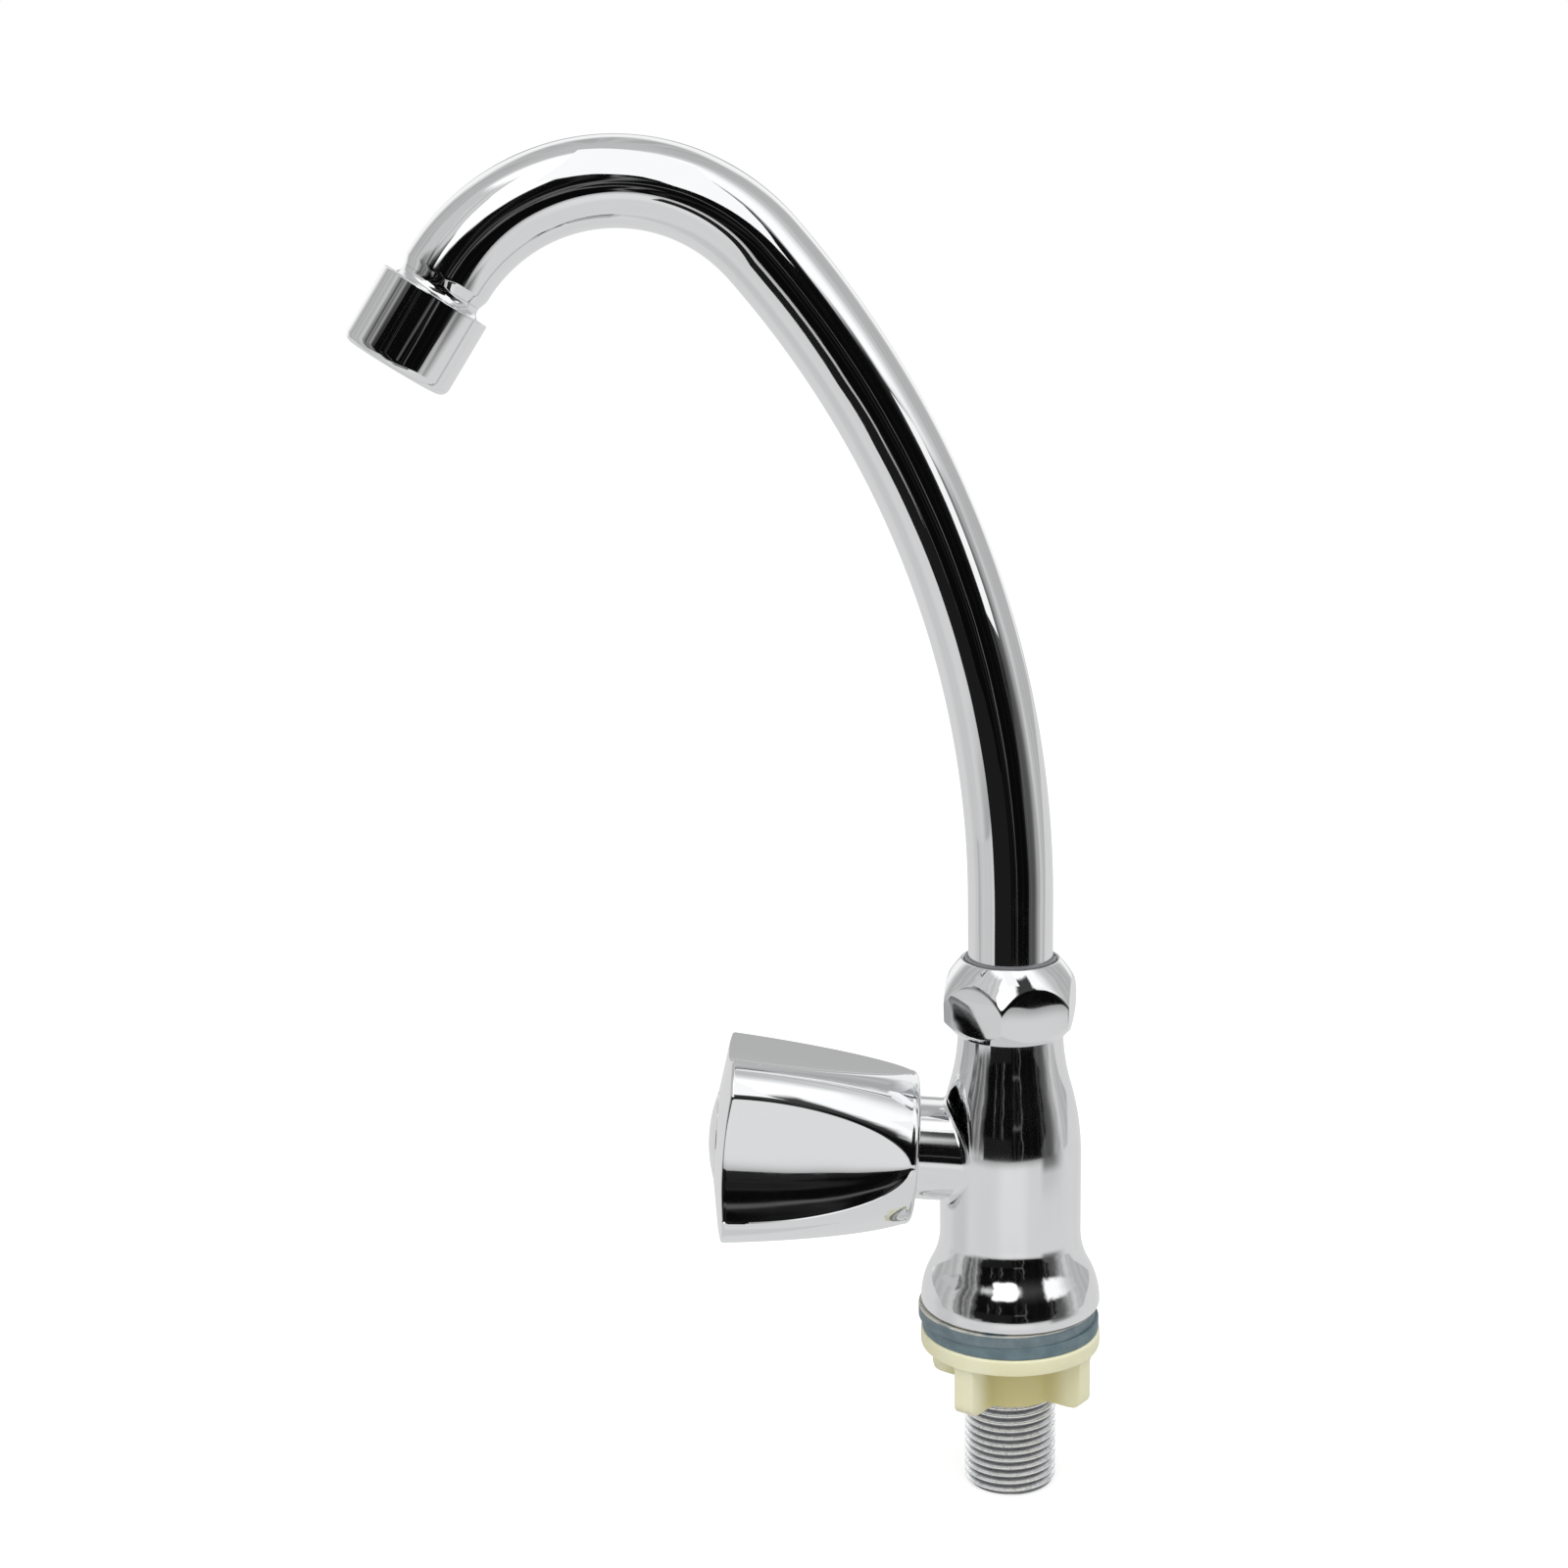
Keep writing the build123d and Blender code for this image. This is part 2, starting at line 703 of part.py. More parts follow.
index_cap = make_index_cap()


def make_handle_screw():
    head_top = knob_web_top + screw_head_height
    screw = rod(screw_radius, spindle_end - screw_length + running_gap, knob_web_top)
    screw += rod(screw_head_radius, knob_web_top, head_top)
    slot_depth = screw_head_height / 2
    slot = Box(2 * screw_head_radius, screw_slot_width, slot_depth)
    cross = slot + Rot(0, 0, 90) * slot
    return valve * (screw - Pos(0, 0, head_top - slot_depth / 2) * cross)


handle_screw = make_handle_screw()


pieces = {
    "body": body,
    "threaded_tail": threaded_tail,
    "upper_washer": upper_washer,
    "lower_washer": lower_washer,
    "back_nut": back_nut,
    "spout_nut": spout_nut,
    "spout_split_ring": spout_split_ring,
    "spout_tube": spout_tube,
    "spout_tailpiece": spout_tailpiece,
    "spout_seals": spout_seals,
    "outlet_adaptor": outlet_adaptor,
    "aerator_housing": aerator_housing,
    "aerator_washer": aerator_washer,
    "aerator_insert": aerator_insert,
    "aerator_screens": aerator_screens,
    "valve_bonnet": valve_bonnet,
    "bonnet_seal": bonnet_seal,
    "valve_spindle": valve_spindle,
    "spindle_seals": spindle_seals,
    "spindle_clip": spindle_clip,
    "moving_disc": moving_disc,
    "fixed_disc": fixed_disc,
    "seat_seal": seat_seal,
    "handle_knob": handle_knob,
    "handle_screw": handle_screw,
    "index_cap": index_cap,
}
for name, piece in pieces.items():
    export_step(piece, f"parts/{name}.step")
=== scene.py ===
from math import acos, atan2, cos, exp, hypot, log, pi, radians, remainder, sin, sqrt, tan

import bmesh
import bpy
from mathutils import Matrix, Vector


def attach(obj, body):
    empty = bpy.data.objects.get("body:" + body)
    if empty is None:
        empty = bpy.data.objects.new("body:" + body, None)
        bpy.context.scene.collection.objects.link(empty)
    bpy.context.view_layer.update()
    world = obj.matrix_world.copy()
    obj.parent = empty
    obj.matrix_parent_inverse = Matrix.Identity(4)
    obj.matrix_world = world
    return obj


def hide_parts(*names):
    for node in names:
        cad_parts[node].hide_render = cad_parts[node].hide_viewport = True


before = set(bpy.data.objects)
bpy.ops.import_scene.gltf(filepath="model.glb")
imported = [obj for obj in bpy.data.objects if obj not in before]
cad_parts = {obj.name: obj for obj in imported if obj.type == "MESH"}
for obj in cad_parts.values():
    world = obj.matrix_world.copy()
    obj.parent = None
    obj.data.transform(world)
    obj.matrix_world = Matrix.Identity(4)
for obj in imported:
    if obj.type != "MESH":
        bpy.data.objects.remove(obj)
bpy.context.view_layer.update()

MM = 0.001

# Sizes of the tap in millimetres, the same as in the solids
washer_radius, washer_bore, washer_thickness, washer_shift = 20.2, 11.6, 2.9, 0.8
thread_radius, thread_pitch, thread_depth = 10.4775, 1.8143, 1.162
tail_foot, tail_top, tail_bore, tail_chamfer = -40.6, 15.9, 7, 0.9
base_radius, base_z, base_round = 20.4, 2.9, 1.2
waist_radius, waist_foot, waist_top = 16, 20.9, 38.9
neck_radius, neck_foot, body_top = 11.8, 68.9, 75.9
core_radius, tail_socket, spout_socket, spout_socket_floor = 7, 10.53, 9.55, 59.9
branch_radius, branch_length, branch_root_foot = 11.6, 25.5, 8
cavity_radius, cavity_mouth, cavity_step = 8.8, 9.5, 12
valve_height, valve_tilt = 38.7, radians(4.9)
knob_foot, knob_rim, knob_face = 21.9, 64.6, 66.9
knob_foot_round, knob_foot_top, knob_foot_radius = 1.7, 23.6, 17.45
knob_middle_radius, knob_middle_share, knob_rim_radius, knob_side_end = 21.6, 0.4, 25.2, 63.8
face_radius = 24.4
facet_count, facet_turn, facet_slope, facet_distance = 4, radians(4.4), 0.081, 20.8
recess_radius, recess_end, knob_hub_radius, knob_hub_foot = 15, 56.9, 7.2, 35.15
spindle_hole, spindle_hole_end, screw_hole, screw_seat, screw_head_hole = 4, 45.65, 2.2, 47.65, 3.85
stem_hole, stem_hole_foot = 8.25, 58
cap_radius, cap_seat, cap_rise, cap_stem_radius, cap_stem_bore, cap_stem_foot = 9.8, 65.1, 1.6, 8.2, 7, 58.1
nut_turn, nut_flats = radians(47.7), 14
nut_foot, nut_cone_top, nut_corner_top, nut_top = 67.7, 71.7, 75.9, 84.8
nut_foot_radius, nut_top_radius, nut_bulge = 12.4, 11, 0.7
nut_bore, nut_shoulder, nut_mouth = 11.9, 79.3, 10.35
spout_turn, spout_foot, bend_start = radians(8.5), 77.6, 98.2
long_bend_radius, long_bend_angle = 219, radians(40.8)
top_bend_radius, top_bend_angle = 40.9, radians(106.25)
tube_radius, tube_bore, tube_neck_radius, tube_neck_bore = 9.49, 8.7, 8.8, 8
adaptor_bore, adaptor_thread, adaptor_end, collar_foot = 7, 10.95, 11.5, 4.5
housing_radius, housing_bore, housing_end, lip_height, outlet_radius = 12, 11, 21.6, 19.6, 9.4
screen_radius, screen_levels, wire_gap, wire_radius, wire_rise = 9.3, (17.99, 16.39), 1.05, 0.17, 0.16
flange_radius, flange_thickness, hub_radius, back_nut_foot, back_nut_bore = 20.5, 4.1, 12, -18.1, 10.55
wing_turn, wing_half, wing_reach, wing_round = radians(53), 2.4, 20, 2.2


# Places
class Place:
    """Where a piece is drawn: an origin and three axes, all in millimetres."""

    def __init__(self, origin, x_axis, z_axis):
        self.origin = Vector(origin)
        self.z = Vector(z_axis).normalized()
        self.x = Vector(x_axis).normalized()
        self.y = self.z.cross(self.x)

    def at(self, x, y, z):
        """A point in metres, from millimetres along the three axes."""
        return (self.origin + self.x * x + self.y * y + self.z * z) * MM

    def round(self, radius, angle, z):
        return self.at(radius * cos(angle), radius * sin(angle), z)

    def rings(self, outline, columns):
        """A ring of evenly spaced points about the z axis for each (radius, height) of an outline."""
        return [[self.round(radius, angle, z) for angle in even_angles(columns)] for radius, z in outline]


def even_angles(columns):
    return [2 * pi * j / columns for j in range(columns)]


def about_tap(x, y, z):
    """A point of the spout's own plane, turned to where the spout points."""
    return Vector((x * cos(spout_turn) - y * sin(spout_turn), x * sin(spout_turn) + y * cos(spout_turn), z))


upright = Place((0, 0, 0), (1, 0, 0), (0, 0, 1))
valve = Place((0, 0, valve_height), (0, -1, 0), (-cos(valve_tilt), 0, sin(valve_tilt)))


# Outlines
def s_curve(start, end, share, steps):
    """Two arcs from start up to end, upright at both ends; share is the first arc's part."""
    narrowing, rise = start[0] - end[0], end[1] - start[1]
    turn = 2 * atan2(narrowing, rise)
    first = rise / sin(turn) * share
    second = rise / sin(turn) - first
    turns = [turn * k / steps for k in range(steps + 1)]
    points = [(start[0] - first + first * cos(a), start[1] + first * sin(a)) for a in turns]
    return points + [(end[0] + second - second * cos(a), end[1] - second * sin(a)) for a in turns[-2::-1]]


def three_point_arc(start, middle, end, steps):
    """Points on the arc through three points."""
    (ax, ay), (bx, by), (cx, cy) = start, middle, end
    d = 2 * (ax * (by - cy) + bx * (cy - ay) + cx * (ay - by))
    a2, b2, c2 = ax * ax + ay * ay, bx * bx + by * by, cx * cx + cy * cy
    ux = (a2 * (by - cy) + b2 * (cy - ay) + c2 * (ay - by)) / d
    uy = (a2 * (cx - bx) + b2 * (ax - cx) + c2 * (bx - ax)) / d
    radius = hypot(ax - ux, ay - uy)
    first = atan2(ay - uy, ax - ux)
    sweep = remainder(atan2(cy - uy, cx - ux) - first, 2 * pi)
    angles = [first + sweep * k / steps for k in range(steps + 1)]
    return [(ux + radius * cos(a), uy + radius * sin(a)) for a in angles]


def corner(before, at, after, radius, steps=6):
    """The corner at a point of an outline, rounded."""
    a, b, c = Vector(before), Vector(at), Vector(after)
    u, v = (a - b).normalized(), (c - b).normalized()
    half = acos(max(-1, min(1, u.dot(v)))) / 2
    if half > radians(89) or half < radians(1):
        return [tuple(b)] * (steps + 1)
    reach = radius / tan(half)
    middle = b + (u + v).normalized() * (radius / sin(half))
    start, end = b + u * reach - middle, b + v * reach - middle
    sweep = pi - 2 * half
    points = []
    for k in range(steps + 1):
        t = k / steps
        p = start * (sin((1 - t) * sweep) / sin(sweep)) + end * (sin(t * sweep) / sin(sweep))
        points.append(tuple(middle + p))
    return points


def rounded(outline):
    """A closed outline whose corners are rounded where a third number says how much."""
    plain = [p[:2] for p in outline]
    points = []
    for k, p in enumerate(outline):
        if len(p) == 3:
            points += corner(plain[k - 1], plain[k], plain[(k + 1) % len(plain)], p[2])
        else:
            points.append(p)
    return points


def with_guards(outline):
    """A closed outline with points beside each corner of a long run, so its shading stays straight."""
    points = []
    for k, start in enumerate(outline):
        a, b = Vector(start), Vector(outline[(k + 1) % len(outline)])
        run = (b - a).length
        points.append(tuple(a))
        if run > 1.2:
            for step in (0.12, 0.5, run - 0.5, run - 0.12):
                points.append(tuple(a + (b - a) * (step / run)))
    return points


def stepped(*sizes):
    """An outline whose radius and height change by turns, starting with a radius."""
    return [(b, a) if k % 2 else (a, b) for k, (a, b) in enumerate(zip(sizes, sizes[1:]))]


def value_at(line, place):
    """The value at a place, from (value, place) points."""
    for (low_value, low), (high_value, high) in zip(line, line[1:]):
        if place <= high and high > low:
            break
    return low_value + (high_value - low_value) * (place - low) / (high - low)


# Meshes
def skin(rings, closed=True):
    """The faces between rings of points; a closed skin also joins the last ring to the first."""
    count = len(rings[0])
    points = [p for ring in rings for p in ring]
    faces = []
    for i in range(len(rings) if closed else len(rings) - 1):
        low, high = i * count, (i + 1) % len(rings) * count
        for j in range(count):
            k = (j + 1) % count
            faces.append((low + j, low + k, high + k, high + j))
    return points, faces


def turned(outline, place=upright, columns=160):
    """A closed outline of (radius, height) turned about a place's axis."""
    return skin(place.rings(with_guards(rounded(outline)), columns))


def block(place, x, y, z):
    """A plain block between two numbers along each axis."""
    rings = [[place.at(x[i], y[j], h) for i, j in ((0, 0), (1, 0), (1, 1), (0, 1))] for h in z]
    points, faces = skin(rings, closed=False)
    return points, faces + [(3, 2, 1, 0), (4, 5, 6, 7)]


def finish_mesh(mesh, crease):
    """Closes seams, turns faces outwards and shades the surface smooth up to its creases."""
    seam = 2e-7
    work = bmesh.new()
    work.from_mesh(mesh)
    bmesh.ops.remove_doubles(work, verts=work.verts, dist=seam)
    bmesh.ops.dissolve_degenerate(work, edges=work.edges, dist=seam)
    bmesh.ops.recalc_face_normals(work, faces=work.faces)
    for face in work.faces:
        face.smooth = True
    for edge in work.edges:
        edge.smooth = len(edge.link_faces) != 2 or edge.calc_face_angle(0) < radians(crease)
    work.to_mesh(mesh)
    work.free()


def placed(name, data):
    """Puts a mesh, a lamp or a camera into the scene, at the origin."""
    thing = bpy.data.objects.new(name, data)
    bpy.context.scene.collection.objects.link(thing)
    return thing


def make(name, shells, finish, crease=38):
    """An object of one or more shells of points and faces."""
    points, faces = [], []
    for shell_points, shell_faces in shells:
        start = len(points)
        points += shell_points
        faces += [tuple(start + i for i in face) for face in shell_faces]
    mesh = bpy.data.meshes.new(name)
    mesh.from_pydata([tuple(p) for p in points], [], faces)
    finish_mesh(mesh, crease)
    mesh.materials.append(finish)
    return placed(name, mesh)


def smooth_copy(node, name, finish, crease=30):
    """A merged, smoothly shaded copy of a solid whose shape is already right."""
    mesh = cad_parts[node].data.copy()
    mesh.name = name
    mesh.materials.clear()
    finish_mesh(mesh, crease)
    mesh.materials.append(finish)
    for face in mesh.polygons:
        face.material_index = 0
    return placed(name, mesh)


def fit(piece, body, slot, *nodes):
    """Hangs a finished piece on its body, in place of the solids it stands for."""
    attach(piece, body)
    if nodes:
        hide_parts(*nodes)


# Nodes
class Value:
    """A socket that plain arithmetic works on; each step adds a node."""

    def __init__(self, nodes, socket):
        self.nodes, self.socket = nodes, socket

    def out(self, name):
        """Another output of the same node."""
        return Value(self.nodes, self.socket.node.outputs[name])

    def math(self, operation, *others):
        return self.nodes.math(operation, self, *others)

    def __add__(self, other):
        return self.math("ADD", other)

    def __sub__(self, other):
        return self.math("SUBTRACT", other)

    def __rsub__(self, other):
        return self.nodes.math("SUBTRACT", other, self)

    def __mul__(self, other):
        return self.math("MULTIPLY", other)

    def __truediv__(self, other):
        return self.math("DIVIDE", other)

    def __rtruediv__(self, other):
        return self.nodes.math("DIVIDE", other, self)

    def __neg__(self):
        return self * -1

    __radd__, __rmul__ = __add__, __mul__

    def between(self, low, high):
        """Goes softly from 0 to 1 while the value goes from low to high."""
        sockets = {"Value": self, 1: low, 2: high}
        return self.nodes.add("ShaderNodeMapRange", sockets, interpolation_type="SMOOTHSTEP")

    def band(self, low, high, soft):
        """1 from low to high and 0 outside, with soft edges on both sides of them."""
        return self.between(low - soft, low + soft) * (1 - self.between(high - soft, high + soft))

    def mix(self, first, second):
        """A mix of two colours; the value is the second one's share."""
        first, second = [(*part, 1) if isinstance(part, tuple) else part for part in (first, second)]
        return self.nodes.add("ShaderNodeMix", {0: self, 6: first, 7: second}, data_type="RGBA").out(2)


class Nodes:
    """The nodes of a material, of the world or of a Geometry Nodes tree."""

    def __init__(self, tree):
        self.tree = tree
        tree.nodes.clear()

    def add(self, kind, sockets=None, **settings):
        """Adds a node, sets it, gives its sockets values or links, and returns its first output."""
        node = self.tree.nodes.new(kind)
        for name, value in settings.items():
            setattr(node, name, value)
        for name, value in (sockets or {}).items():
            if isinstance(value, Value):
                self.tree.links.new(value.socket, node.inputs[name])
            else:
                node.inputs[name].default_value = value
        return Value(self, node.outputs[0]) if len(node.outputs) else None

    def math(self, operation, *values):
        return self.add("ShaderNodeMath", dict(enumerate(values)), operation=operation)

    def place(self):
        return self.add("ShaderNodeTexCoord").out("Object")

    def axes(self, vector=None):
        """The three parts of a vector or of the place."""
        parts = self.add("ShaderNodeSeparateXYZ", {0: vector or self.place()})
        return parts, parts.out(1), parts.out(2)

    def noise(self, scale, detail=2, roughness=0.5, stretch=None, where=None):
        """Noise with a number of lumps to the metre, stretched along the axes."""
        where = where or self.place()
        if stretch:
            where = self.add("ShaderNodeMapping", {"Vector": where, "Scale": stretch})
        sockets = {"Vector": where, "Scale": scale, "Detail": detail, "Roughness": roughness}
        return self.add("ShaderNodeTexNoise", sockets)

    def bump(self, height, distance, strength=1, under=None):
        """A normal moved by a height, on top of another one."""
        sockets = {"Height": height, "Distance": distance, "Strength": strength}
        if under:
            sockets["Normal"] = under
        return self.add("ShaderNodeBump", sockets)


def from_axis(x, y):
    """The distance from the upright axis."""
    return (x * x + y * y).math("SQRT")


def side_of(x, y):
    """The side of the tap in degrees: 0 in front, growing towards +X."""
    return x.math("ARCTAN2", -y) * (180 / pi)


def over(under, share, shade):
    """A shade laid over another where its share is 1."""
    return under * (1 - share) + share * shade


# Finishes
class Finish(Nodes):
    """The nodes of one material."""

    def __init__(self, name):
        self.material = bpy.data.materials.new(name)
        self.material.use_nodes = True
        super().__init__(self.material.node_tree)

    def end(self, shader):
        self.add("ShaderNodeOutputMaterial", {"Surface": shader})
        return self.material

    def surface(self, shade, rough, normal, others=()):
        """Ends the material in one principled shader."""
        sockets = {"Base Color": shade, "Roughness": rough, "Normal": normal, **dict(others)}
        return self.end(self.add("ShaderNodeBsdfPrincipled", sockets))


metal = {"Metallic": 1}


def scaled(colour, factor):
    return tuple(factor * part for part in colour)


def chrome(name, tint, wave, wave_scale, dull=0.03):
    """Bright chrome plate: nearly a mirror, with a polisher's slight waves and wipe marks."""
    nodes = Finish(name)
    cloud = nodes.noise(130, 3)
    wipe = nodes.noise(420, 4, 0.6, (1, 1, 0.16))
    speck = nodes.noise(2600).between(0.70, 0.82)
    shade = (speck * 0.25).mix(cloud.mix(scaled(tint, 0.975), tint), (0.62, 0.63, 0.65))
    rough = dull + 0.022 * cloud.between(0.42, 0.72) + 0.02 * wipe.between(0.5, 0.8) + 0.06 * speck
    normal = nodes.bump(nodes.noise(wave_scale, 1, 0.4), 0.00012 * wave)
    return nodes.surface(shade, rough, nodes.bump(wipe, 0.0000012, 1, normal), metal)


def rubber(name, base, light, mark=0.5, highlight_height=None):
    """Moulded rubber: satin, mottled, with fine streaks and dust, and with a painted highlight that turns its
    edge pale above a height.
    """
    nodes = Finish(name)
    mottle = nodes.noise(240, 5, 0.6)
    streak = nodes.noise(90, 4, 0.6, (1, 1, 26))
    dust = nodes.noise(1500, 3, 0.7).between(0.66, 0.76)
    shade = mottle.between(0.3, 0.72).mix(base, light)
    shade = (streak.between(0.52, 0.7) * mark).mix(shade, scaled(base, 0.7))
    shade = (dust * 0.3).mix(shade, scaled(light, 1.7))
    # Painted highlight: a patchy pale band along the rim above the given height
    if highlight_height:
        _, _, z = nodes.axes()
        rim_highlight = z.between(highlight_height, highlight_height + 0.0002) * (streak + 0.5 * mottle).between(0.55, 0.85)
        shade = (rim_highlight * 0.8).mix(shade, (0.62, 0.60, 0.52))
    normal = nodes.bump(nodes.noise(3200, 3) + 2 * streak, 0.00003, 0.7)
    return nodes.surface(shade, 0.42 + 0.16 * mottle + 0.1 * dust, normal, {"IOR": 1.5})


def moulded_plastic(name, base, light, glow=0, recess_shade=None):
    """Injection-moulded plastic: slightly waxy, with flow and sink marks, and with painted shade that makes
    its recesses a deeper, darker colour.
    """
    nodes = Finish(name)
    flow = nodes.noise(70, 4, 0.55, (1, 1, 0.4))
    mottle = nodes.noise(900, 3, 0.6)
    shade = flow.between(0.32, 0.7).mix(base, light)
    shade = (mottle.between(0.6, 0.8) * 0.12).mix(shade, scaled(base, 0.85))
    if recess_shade:
        # Painted shade: near the hub and below the flange the colour is mixed towards the darker recess
        # colour
        x, y, z = nodes.axes()
        deep = (1 - from_axis(x, y).between(0.0122, 0.0172)) * (1 - z.between(-0.0078, -0.0064))
        shade = (deep * 0.8).mix(shade, recess_shade)
    normal = nodes.bump(nodes.noise(160), 0.00015, 0.5)
    normal = nodes.bump(nodes.noise(2600), 0.000012, 0.8, normal)
    others = {"IOR": 1.53, "Subsurface Weight": glow, "Subsurface Scale": 1}
    others["Subsurface Radius"] = (0.0035, 0.003, 0.0014)
    return nodes.surface(shade, 0.36 + 0.12 * flow + 0.06 * mottle, normal, others)


def turned_metal(name, base, light, rough_low, ring_scale, axis=2):
    """Bare machined metal with the fine rings of a lathe tool."""
    nodes = Finish(name)
    rings = nodes.noise(ring_scale, 4, 0.65, [30 if k == axis else 1 for k in range(3)])
    stain = nodes.noise(110, 5, 0.6)
    shade = stain.between(0.3, 0.75).mix(base, light)
    shade = (rings.between(0.5, 0.75) * 0.3).mix(shade, scaled(base, 0.75))
    rough = rough_low + 0.14 * stain + 0.08 * rings
    return nodes.surface(shade, rough, nodes.bump(rings, 0.00004, 0.6), metal)


def cut_thread_plate(name):
    """Plated thread: bright on the crests, dull in the roots and darkened there with painted shade, with a
    die's fine chatter marks.
    """
    nodes = Finish(name)
    x, y, _ = nodes.axes()
    # Painted shade: the colour is dark in the thread's roots and bright on its crests
    crest_share = from_axis(x, y).between(0.00932, 0.01020)
    chatter = nodes.noise(1500, 4, 0.7, (1, 1, 0.35))
    stain = nodes.noise(240, 4, 0.6)
    shade = crest_share.mix((0.36, 0.36, 0.365), (0.93, 0.94, 0.95))
    shade = (chatter.between(0.52, 0.70) * 0.5).mix(shade, (0.16, 0.16, 0.165))
    rough = 0.13 + 0.20 * (1 - crest_share) + 0.16 * stain.between(0.45, 0.7)
    return nodes.surface(shade, rough, nodes.bump(chatter, 0.00008, 0.8), metal)


def lapped_ceramic(name):
    """Alumina disc: off-white, very smooth where lapped, with fine pores."""
    nodes = Finish(name)
    pores = nodes.noise(3400).between(0.68, 0.78)
    cloud = nodes.noise(260, 3)
    shade = (pores * 0.5).mix(cloud.mix((0.80, 0.78, 0.73), (0.88, 0.87, 0.83)), (0.55, 0.53, 0.50))
    return nodes.surface(shade, 0.16 + 0.1 * cloud + 0.2 * pores, nodes.bump(1 - pores, 0.00001))


plate = (0.865, 0.87, 0.88)
cast_chrome = chrome("cast_chrome", plate, 1.3, 62, 0.065)
nut_chrome = chrome("nut_chrome", plate, 1.5, 75)
tube_chrome = chrome("tube_chrome", (0.87, 0.875, 0.885), 0.8, 55)
knob_chrome = chrome("knob_chrome", plate, 0.7, 60)
cap_chrome = chrome("cap_chrome", (0.86, 0.865, 0.875), 0.6, 80, 0.05)
tail_chrome = cut_thread_plate("tail_plating")
washer_blue = rubber("blue_grey_rubber", (0.105, 0.165, 0.19), (0.16, 0.23, 0.255))
# The upper washer: a lighter copy of the rubber, with a painted highlight along its top rim
washer_with_rim_highlight = rubber("painted_rim_grey_rubber", (0.125, 0.175, 0.20), (0.19, 0.25, 0.275), 0.4, 0.00245)
seal_black = rubber("black_rubber", (0.012, 0.012, 0.013), (0.03, 0.03, 0.032), 0.3)
# The nylon nut's last colour is the painted shade of its recess under the flange
nut_cream = moulded_plastic("cream_nylon", (0.83, 0.80, 0.53), (0.88, 0.86, 0.63), 0.16, (0.64, 0.56, 0.22))
ring_grey = moulded_plastic("grey_acetal", (0.17, 0.175, 0.185), (0.23, 0.235, 0.245))
insert_grey = moulded_plastic("pale_insert_plastic", (0.62, 0.64, 0.66), (0.72, 0.74, 0.76))
bare_brass = turned_metal("bare_brass", (0.62, 0.42, 0.16), (0.80, 0.60, 0.30), 0.2, 150)
hollow_dull = turned_metal("dull_moulded_hollow", (0.13, 0.13, 0.135), (0.20, 0.20, 0.205), 0.45, 90)
screen_wire = turned_metal("screen_wire", (0.50, 0.51, 0.52), (0.66, 0.67, 0.68), 0.25, 400)
screw_zinc = turned_metal("zinc_plate", (0.50, 0.51, 0.52), (0.68, 0.69, 0.70), 0.28, 300, 0)
clip_spring = turned_metal("spring_steel", (0.30, 0.30, 0.31), (0.46, 0.46, 0.47), 0.3, 300, 0)
disc_white = lapped_ceramic("lapped_alumina")


# Body casting
body_side = s_curve((base_radius, base_z + base_round), (waist_radius, waist_foot), 0.5, 30)
body_side += s_curve((waist_radius, waist_top), (neck_radius, neck_foot), 0.55, 30)


def make_body():
    """The turned casting: bell, waist and neck, with sockets for the tail and the spout."""
    outline = corner((0, base_z), (base_radius, base_z), (base_radius, 10), base_round, 10)
    outline += body_side[1:] + stepped(neck_radius, body_top, spout_socket, spout_socket_floor)
    outline += [(core_radius, 56), (core_radius, 20), (tail_socket, tail_top), (tail_socket, base_z)]
    return turned(outline, upright, 192)


def branch_root(x, y):
    """Where a line along the branch, at a place across it, meets the casting's wall."""
    low, high = 0, 24
    for _ in range(30):
        middle = (low + high) / 2
        p = valve.at(x, y, middle) / MM
        if hypot(p.x, p.y) < value_at(body_side, p.z):
            low = middle
        else:
            high = middle
    return low


def make_branch():
    """The valve branch: a round boss that runs into the body's wall with a small cast fillet."""
    columns, fillet = 144, 0.9

    def root_ring(grow, lift):
        """A ring that follows the casting's wall, lift above it and grow wider than the branch."""
        radius = branch_radius + grow
        spots = [(radius * cos(angle), radius * sin(angle)) for angle in even_angles(columns)]
        return [valve.at(x, y, branch_root(x, y) + lift) for x, y in spots]

    mouth = corner((cavity_mouth, branch_length), (branch_radius, branch_length), (branch_radius, 12), 0.35)
    rings = valve.rings(mouth + [(branch_radius, branch_length - 0.5)], columns)
    rings += [root_ring(0, fillet + 0.7), root_ring(0, fillet + 0.15)]
    for k in range(13):
        a = pi / 2 * k / 12
        rings.append(root_ring(fillet * (1 - cos(a)), fillet * (1 - sin(a)) + 0.012))
    rings.append(root_ring(fillet + 0.15, -0.12))
    inside = stepped(branch_radius, branch_root_foot, cavity_radius, cavity_step, cavity_mouth)
    inside += [(cavity_mouth, branch_length - 0.2), (9.6, branch_length)]
    return skin(rings + valve.rings(inside, columns))


fit(make("cast_body", [make_body(), make_branch()], cast_chrome), "tap_body", "chromed_brass", "body")


# Turned pieces with flats
def soft_least(first, second, softness):
    """The lesser of two distances, with the corner between them rounded."""
    low = min(first, second)
    if abs(first - second) > 30 * softness:
        return low
    return low - softness * log(exp((low - first) / softness) + exp((low - second) / softness))


